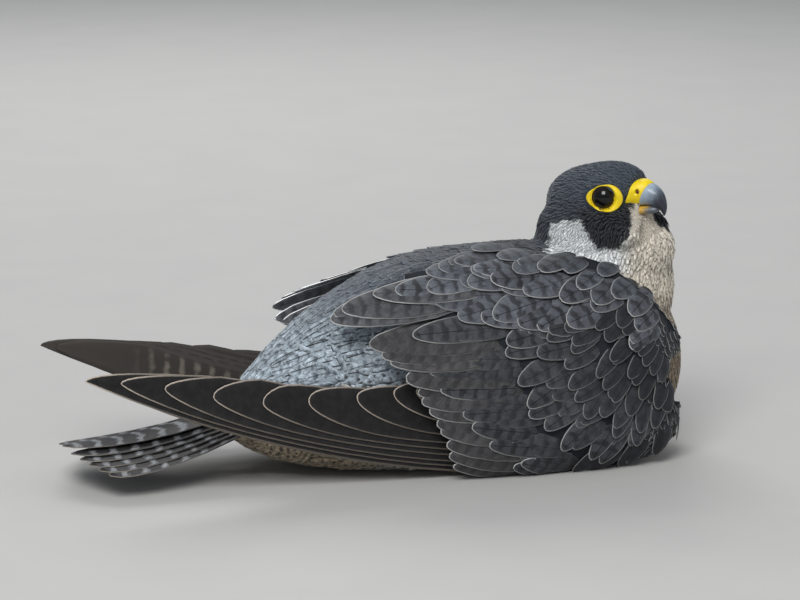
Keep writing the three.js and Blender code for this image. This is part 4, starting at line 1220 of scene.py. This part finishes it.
def cere_share(places):
    """How far out from the cere's middle places on the head lie, 1 on its surface."""
    rows = np.array(CERE)
    at = places[:, 0] - 0.4 * (places[:, 2] - 8.5)
    middle, high, half = (np.interp(at, rows[:, 0], rows[:, k]) for k in (1, 3, 4))
    share = np.hypot(places[:, 1] / half, (places[:, 2] - middle) / (0.92 * high))
    return np.where(at < rows[0, 0], 9, share), middle


# The feathered skin ends under the cere along a line that leans back towards the mouth
skin_places = in_head(mesh_arrays(skin.data)[0])
share, middle = cere_share(skin_places)
past_line = skin_places[:, 0] - 22.2 - 0.3 * (skin_places[:, 2] + 3.2)
under = step(past_line, -0.8, 0.8) * step(skin_places[:, 2], -3.5, -1.5)
scale = 1 - under * (1 - np.minimum(0.84 / share, 1))
skin_places[:, 1] *= scale
skin_places[:, 2] = middle + (skin_places[:, 2] - middle) * scale
skin.data.vertices.foreach_set("co", (from_head(skin_places) * MM).astype(np.float32).ravel())
skin.data.update()

nostril_finish = mottled_finish(
    "nostril_skin", {"Roughness": 0.5}, (900,), (0.03, 0.006, 0.003), (0.16, 0.03, 0.01))


def pit_point(point, side):
    """A point of a unit ball, laid as a round pit in the cere with a peg in its middle."""
    spot = np.array(point) * (NOSTRIL_RADIUS * 0.95, 1.1, NOSTRIL_RADIUS * 1.05)
    spot[1] += 0.75 * math.exp(-(spot[0] ** 2 + spot[2] ** 2) / 0.3) * side
    spot += (NOSTRIL_AT[0], side * (NOSTRIL_AT[1] - 1.35), NOSTRIL_AT[2])
    return Vector(from_head([spot])[0]) * MM


for side in (RIGHT, LEFT):
    pit = ball("nostril_" + SIDE_NAMES[side], 24, 16, 1, lambda co: pit_point(co, side), nostril_finish)
    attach(pit, "root")


# Body coat
# Small overlapping feathers all over the skin, rooted in it and lying back along the body: tiny
# and hair-like on the head, soft on the breast, larger and squarer on the back and rump.
CLOUD_SIZE = 260000
NEIGHBOURS = [(i, j, k) for i in (-1, 0, 1) for j in (-1, 0, 1) for k in (-1, 0, 1)]


def scatter(points, spacing, draws):
    """Picks points of a dense cloud that keep a spacing which may vary from place to place."""
    cell = float(np.max(spacing))
    grid, chosen = {}, []
    for index in draws.permutation(len(points)):
        x, y, z = points[index]
        apart = spacing[index] * spacing[index]
        i, j, k = (points[index] // cell).astype(int)
        near = (points[other] for a, b, c in NEIGHBOURS for other in grid.get((i + a, j + b, k + c), ()))
        if all((x - q[0]) ** 2 + (y - q[1]) ** 2 + (z - q[2]) ** 2 >= apart for q in near):
            grid.setdefault((i, j, k), []).append(index)
            chosen.append(index)
    return np.array(chosen)


def lie(points, normals):
    """The way the coat lies at each point: back from the bill over the head, then down and back."""
    h = in_head(points)
    back = from_head([(-1.0, 0, 0)])[0] - HEAD_CENTRE
    down_head = from_head([(-0.45, 0, -1.0)])[0] - HEAD_CENTRE
    on_head = 1 - step(np.linalg.norm(h, axis=1), 36, 50)
    under_bill = step(-h[:, 2], -2, 12)
    head_way = back + (down_head - back) * under_bill[:, None]
    front = step(points[:, 0], 50, 100)
    body_way = np.stack([-1 + 0.75 * front, np.zeros(len(points)), -0.12 - 0.9 * front], 1)
    below = step(-points[:, 2], -40, -10)
    body_way[:, 2] *= 1 - below
    body_way[:, 0] -= below
    ways = body_way + (head_way - body_way) * on_head[:, None]
    ways = ways - normals * np.sum(ways * normals, 1, keepdims=True)
    return unit(ways)


def surface_cloud(mesh, count, draws):
    """Even random points on a mesh with their normals, in millimetres."""
    mesh.calc_loop_triangles()
    corners = np.empty(len(mesh.loop_triangles) * 3, int)
    mesh.loop_triangles.foreach_get("vertices", corners)
    corners = corners.reshape(-1, 3)
    places, normals = mesh_arrays(mesh)
    a, b, c = (places[corners[:, k]] for k in range(3))
    area = np.linalg.norm(np.cross(b - a, c - a), axis=1)
    picks = draws.choice(len(area), count, p=area / area.sum())
    u, v = draws.random(count), draws.random(count)
    over = u + v > 1
    u[over], v[over] = 1 - u[over], 1 - v[over]
    w = 1 - u - v
    spots = a[picks] * w[:, None] + b[picks] * u[:, None] + c[picks] * v[:, None]
    outs = sum(normals[corners[picks, k]] * s[:, None] for k, s in enumerate((w, u, v)))
    return spots, unit(outs)


def hug(points, tree):
    """The nearest places on a surface to points in millimetres, and its normals there."""
    found = [tree.find_nearest(Vector(point)) for point in points.reshape(-1, 3) * MM]
    spots, outs = (np.array([hit[k] for hit in found]).reshape(points.shape) for k in (0, 1))
    return spots / MM, outs


COAT_ROOT_DEPTH = 0.6
COAT_COLUMNS = (-1, -0.5, 0, 0.5, 1)


def coat_piece(name, points, normals, long, wide, rise, draws, finish, stations, columns, thickness, tree,
               tones=None, marks_of=None, fringe=1.0, stray=0.16):
    """Short feathers rooted under a surface, each lying back along it and rising to its tip."""
    count = len(points)
    way = lie(points, normals)
    turn = draws.normal(0, stray, count)
    side_way = np.cross(normals, way)
    way = unit(way * np.cos(turn)[:, None] + side_way * np.sin(turn)[:, None])
    t = stations[None, :, None]
    lift = rise * (1 + draws.normal(0, 0.2, count))
    arch = (-COAT_ROOT_DEPTH + (lift[:, None] + COAT_ROOT_DEPTH) * stations[None] ** 0.6)[..., None]
    spots, outs = hug(points[:, None] + way[:, None] * t * long[:, None, None], tree)
    outs = unit(outs + normals[:, None])
    middle = spots + outs * arch
    along_way = unit(np.gradient(middle, axis=1))
    across = unit(np.cross(along_way, outs))
    out = unit(np.cross(across, along_way))
    across = np.where(np.sum(out * outs, -1, keepdims=True) < 0, -across, across)
    out = unit(np.cross(across, along_way))
    share = vane_share(stations, 0.45, 0.5, 2.2)
    ripple = 1 + draws.normal(0, 0.03, (count, len(stations), 2))
    reach = wide[:, None, None] / 2 * share[None, :, None] * ripple
    tone, bars, spots = plumage(points + way * long[:, None] * 0.6)
    if tones is not None:
        tone = tones
    tone = tone * (1 + draws.normal(0, 0.09, (count, 1)))
    mark = np.stack([bars, spots, fringe * np.where(tone[:, 0] < 0.15, 0.35, 0.15)], 1)
    if marks_of is not None:
        mark = marks_of
    piece = vane_mesh(name, middle, across, out, reach, stations, long, tone, mark, unwrap_place(points),
                      thickness=thickness, camber=0.25, columns=columns)
    piece.data.materials.append(finish)
    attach(piece, "root")
    return piece


skin_tree = surface_tree(skin.data)
coat_draws = np.random.default_rng(19)
cloud_points, cloud_normals = surface_cloud(skin.data, CLOUD_SIZE, coat_draws)
head_places = in_head(cloud_points)
is_head = (np.linalg.norm(head_places, axis=1) < 40) & (head_places[:, 2] > -24)
bare = (head_places[:, 0] > 20) & (cere_share(head_places)[0] < 0.98)
for side in (RIGHT, LEFT):
    turn, centre = eye_frame(side)
    local = (cloud_points - np.array(centre) / MM) @ np.array(turn)
    reach = ring_reach(np.arctan2(local[:, 1], local[:, 0]), side)
    bare |= (np.hypot(local[:, 0], local[:, 1]) < reach + 0.2) & (local[:, 2] > -8)

def thinned(mask, spacing):
    """Indices of the cloud's points under a mask, thinned to a spacing given for every point."""
    pick = np.flatnonzero(mask)
    return pick[scatter(cloud_points[pick], spacing[pick], coat_draws)]


small_stations = np.array((0, 0.3, 0.62, 0.86, 1))
head_finish = feather_finish("head_feathers", 3, (0.02, 0.02, 0.024), (0.12, 0.13, 0.15), 0.2, 0.7, 0.2)
head_share = np.clip((36 - head_places[:, 0]) / 60, 0, 1)
picked = thinned(is_head & ~bare, 0.9 + 0.4 * head_share)
on_hood = head_places[picked, 2] > -1
for name, chosen in (("hood_coat", picked[on_hood]), ("cheek_coat", picked[~on_hood])):
    share = head_share[chosen]
    head_coat = coat_piece(name, cloud_points[chosen], cloud_normals[chosen], 3.0 + 4 * share,
                           1.1 + 0.8 * share, 0.5, coat_draws, head_finish, small_stations, (-1, 0, 1), 0.1,
                           skin_tree, fringe=0)

body_finish = feather_finish("body_feathers", 5, (0.035, 0.03, 0.027), (0.5, 0.46, 0.38), 0.3, 0.75, 0.25,
                             0.75, streaks=0.32)
x, z = cloud_points[:, 0], cloud_points[:, 2]
is_front = ~is_head & (x > 20) & (z > 4)
front_share = step(-z, -132, -60)
chosen = thinned(is_front & ~bare, 1.9 + 1.1 * front_share)
share = front_share[chosen]
front_long = 7.5 + 7 * share
front_coat = coat_piece("breast_coat", cloud_points[chosen], cloud_normals[chosen], front_long,
                        front_long * (0.34 + 0.08 * share), 0.9, coat_draws, body_finish, small_stations,
                        COAT_COLUMNS, 0.14, skin_tree, fringe=0.4)

body_stations = np.array((0, 0.25, 0.5, 0.72, 0.9, 1))
is_low = ~is_head & (x <= 20) & (z > 2.5) & (z < 68)
is_low |= (x < -92) & (z > 2.5)
is_low &= (z < 55 + 0.27 * (x + 92)) | (x > -92)
chosen = thinned(is_low, np.full(len(x), 4.0))
low_long = np.where(x[chosen] < -92, 20.0, 15.0)
low_coat = coat_piece("belly_coat", cloud_points[chosen], cloud_normals[chosen], low_long, low_long * 0.42,
                      1.1, coat_draws, body_finish, body_stations, COAT_COLUMNS, 0.18, skin_tree)

back_stations = np.array((0, 0.22, 0.45, 0.66, 0.84, 0.95, 1))
back_finish = feather_finish("back_feathers", 8, (0.045, 0.056, 0.072), (0.52, 0.58, 0.63), 0.9, 0.65, 0.15,
                             0.45, 0.25, 0.45)
is_back = ~is_head & ~is_low & ~is_front & (z > 20)
back_share = 1 - step(x, -110, -20)
chosen = thinned(is_back, 3.8 + 2.4 * back_share)
share = back_share[chosen]
back_long = (15 + 16 * share) * (1 + coat_draws.normal(0, 0.12, len(chosen)))
_, back_bars, _ = plumage(cloud_points[chosen])
back_marks = np.stack([back_bars * 0.9, 0.4 + 0.6 * coat_draws.random(len(chosen)), 0.2 + 0.2 * share], 1)
back_coat = coat_piece("back_coat", cloud_points[chosen], cloud_normals[chosen], back_long,
                       back_long * (0.44 - 0.13 * share), 0.8, coat_draws, back_finish, back_stations,
                       (-1, -0.6, 0, 0.6, 1), 0.14, skin_tree, marks_of=back_marks, stray=0.08)


# Edge of the wing
# Short dark feathers round the wrist and along the front edge of the folded wing, their dark tone partly their
# own colour and partly painted shade.
for side in (RIGHT, LEFT):
    edge_draws = np.random.default_rng(29 if side == RIGHT else 31)
    points, normals = surface_cloud(wing_bodies[side].data, 24000, edge_draws)
    keep = (points[:, 0] > 84) & (points[:, 2] > 3) & ((normals[:, 1] * side > -0.1) | (normals[:, 0] > 0.5))
    points, normals = points[keep], normals[keep]
    chosen = scatter(points, np.full(len(points), 3.0), edge_draws)
    points, normals = points[chosen], normals[chosen]
    count = len(points)
    # Darker still than the front coverts: partly own colour, partly painted shade at the wrist.
    tones = np.tile(FRONT_COVERT_DARK_AND_SHADE, (count, 1)) * 0.9
    edge_marks = np.tile((0.3, 0.3, 0.45), (count, 1))
    edge_coat = coat_piece("wing_edge_" + SIDE_NAMES[side], points, normals, np.full(count, 10.0),
                           np.full(count, 5.0), 1.0, edge_draws, wing_finish, body_stations, COAT_COLUMNS,
                           0.18, surface_tree(wing_bodies[side].data), tones, edge_marks)
    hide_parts("wing_" + SIDE_NAMES[side])


# Feet
# Yellow scaled toes folded forward under the breast feathers, with long black hooked claws.
foot_finish, desk, shader = new_finish("scaled_toes", {"Roughness": 0.5})
scutes = desk.pebbles(620, "DISTANCE_TO_EDGE")
foot_colour = desk.blend(desk.noise(150), (0.62, 0.4, 0.03, 1), (0.85, 0.62, 0.1, 1))
foot_colour = desk.blend(desk.ramp(scutes, 0.02, 0.12), (0.3, 0.19, 0.03, 1), foot_colour)
desk.set(shader.inputs["Base Color"], foot_colour)
desk.bump(shader, desk.ramp(scutes, 0.0, 0.2), 0.7, 0.0004)

claw_finish = horn_finish("claw_horn", (0.02, 0.02, 0.022), (0.008, 0.008, 0.01), 20, 60)
for side in (RIGHT, LEFT):
    name = SIDE_NAMES[side]
    claws = ["claw_%s_%s" % (toe, name) for toe in ("inner", "middle", "outer", "hind")]
    dressed = [("leg_" + name, foot_finish, "bare_skin")] + [(claw, claw_finish, "claw_horn") for claw in claws]
    for node, finish, slot in dressed:
        piece = merged_copy([node], node + "_fine")
        fine_shape = piece.modifiers.new("fine", "SUBSURF")
        fine_shape.levels = 2
        fine_shape.render_levels = 2
        finish_modifiers(piece)
        bpy.ops.object.shade_smooth()
        piece.data.materials.append(finish)
        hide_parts(node)
        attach(piece, "root")
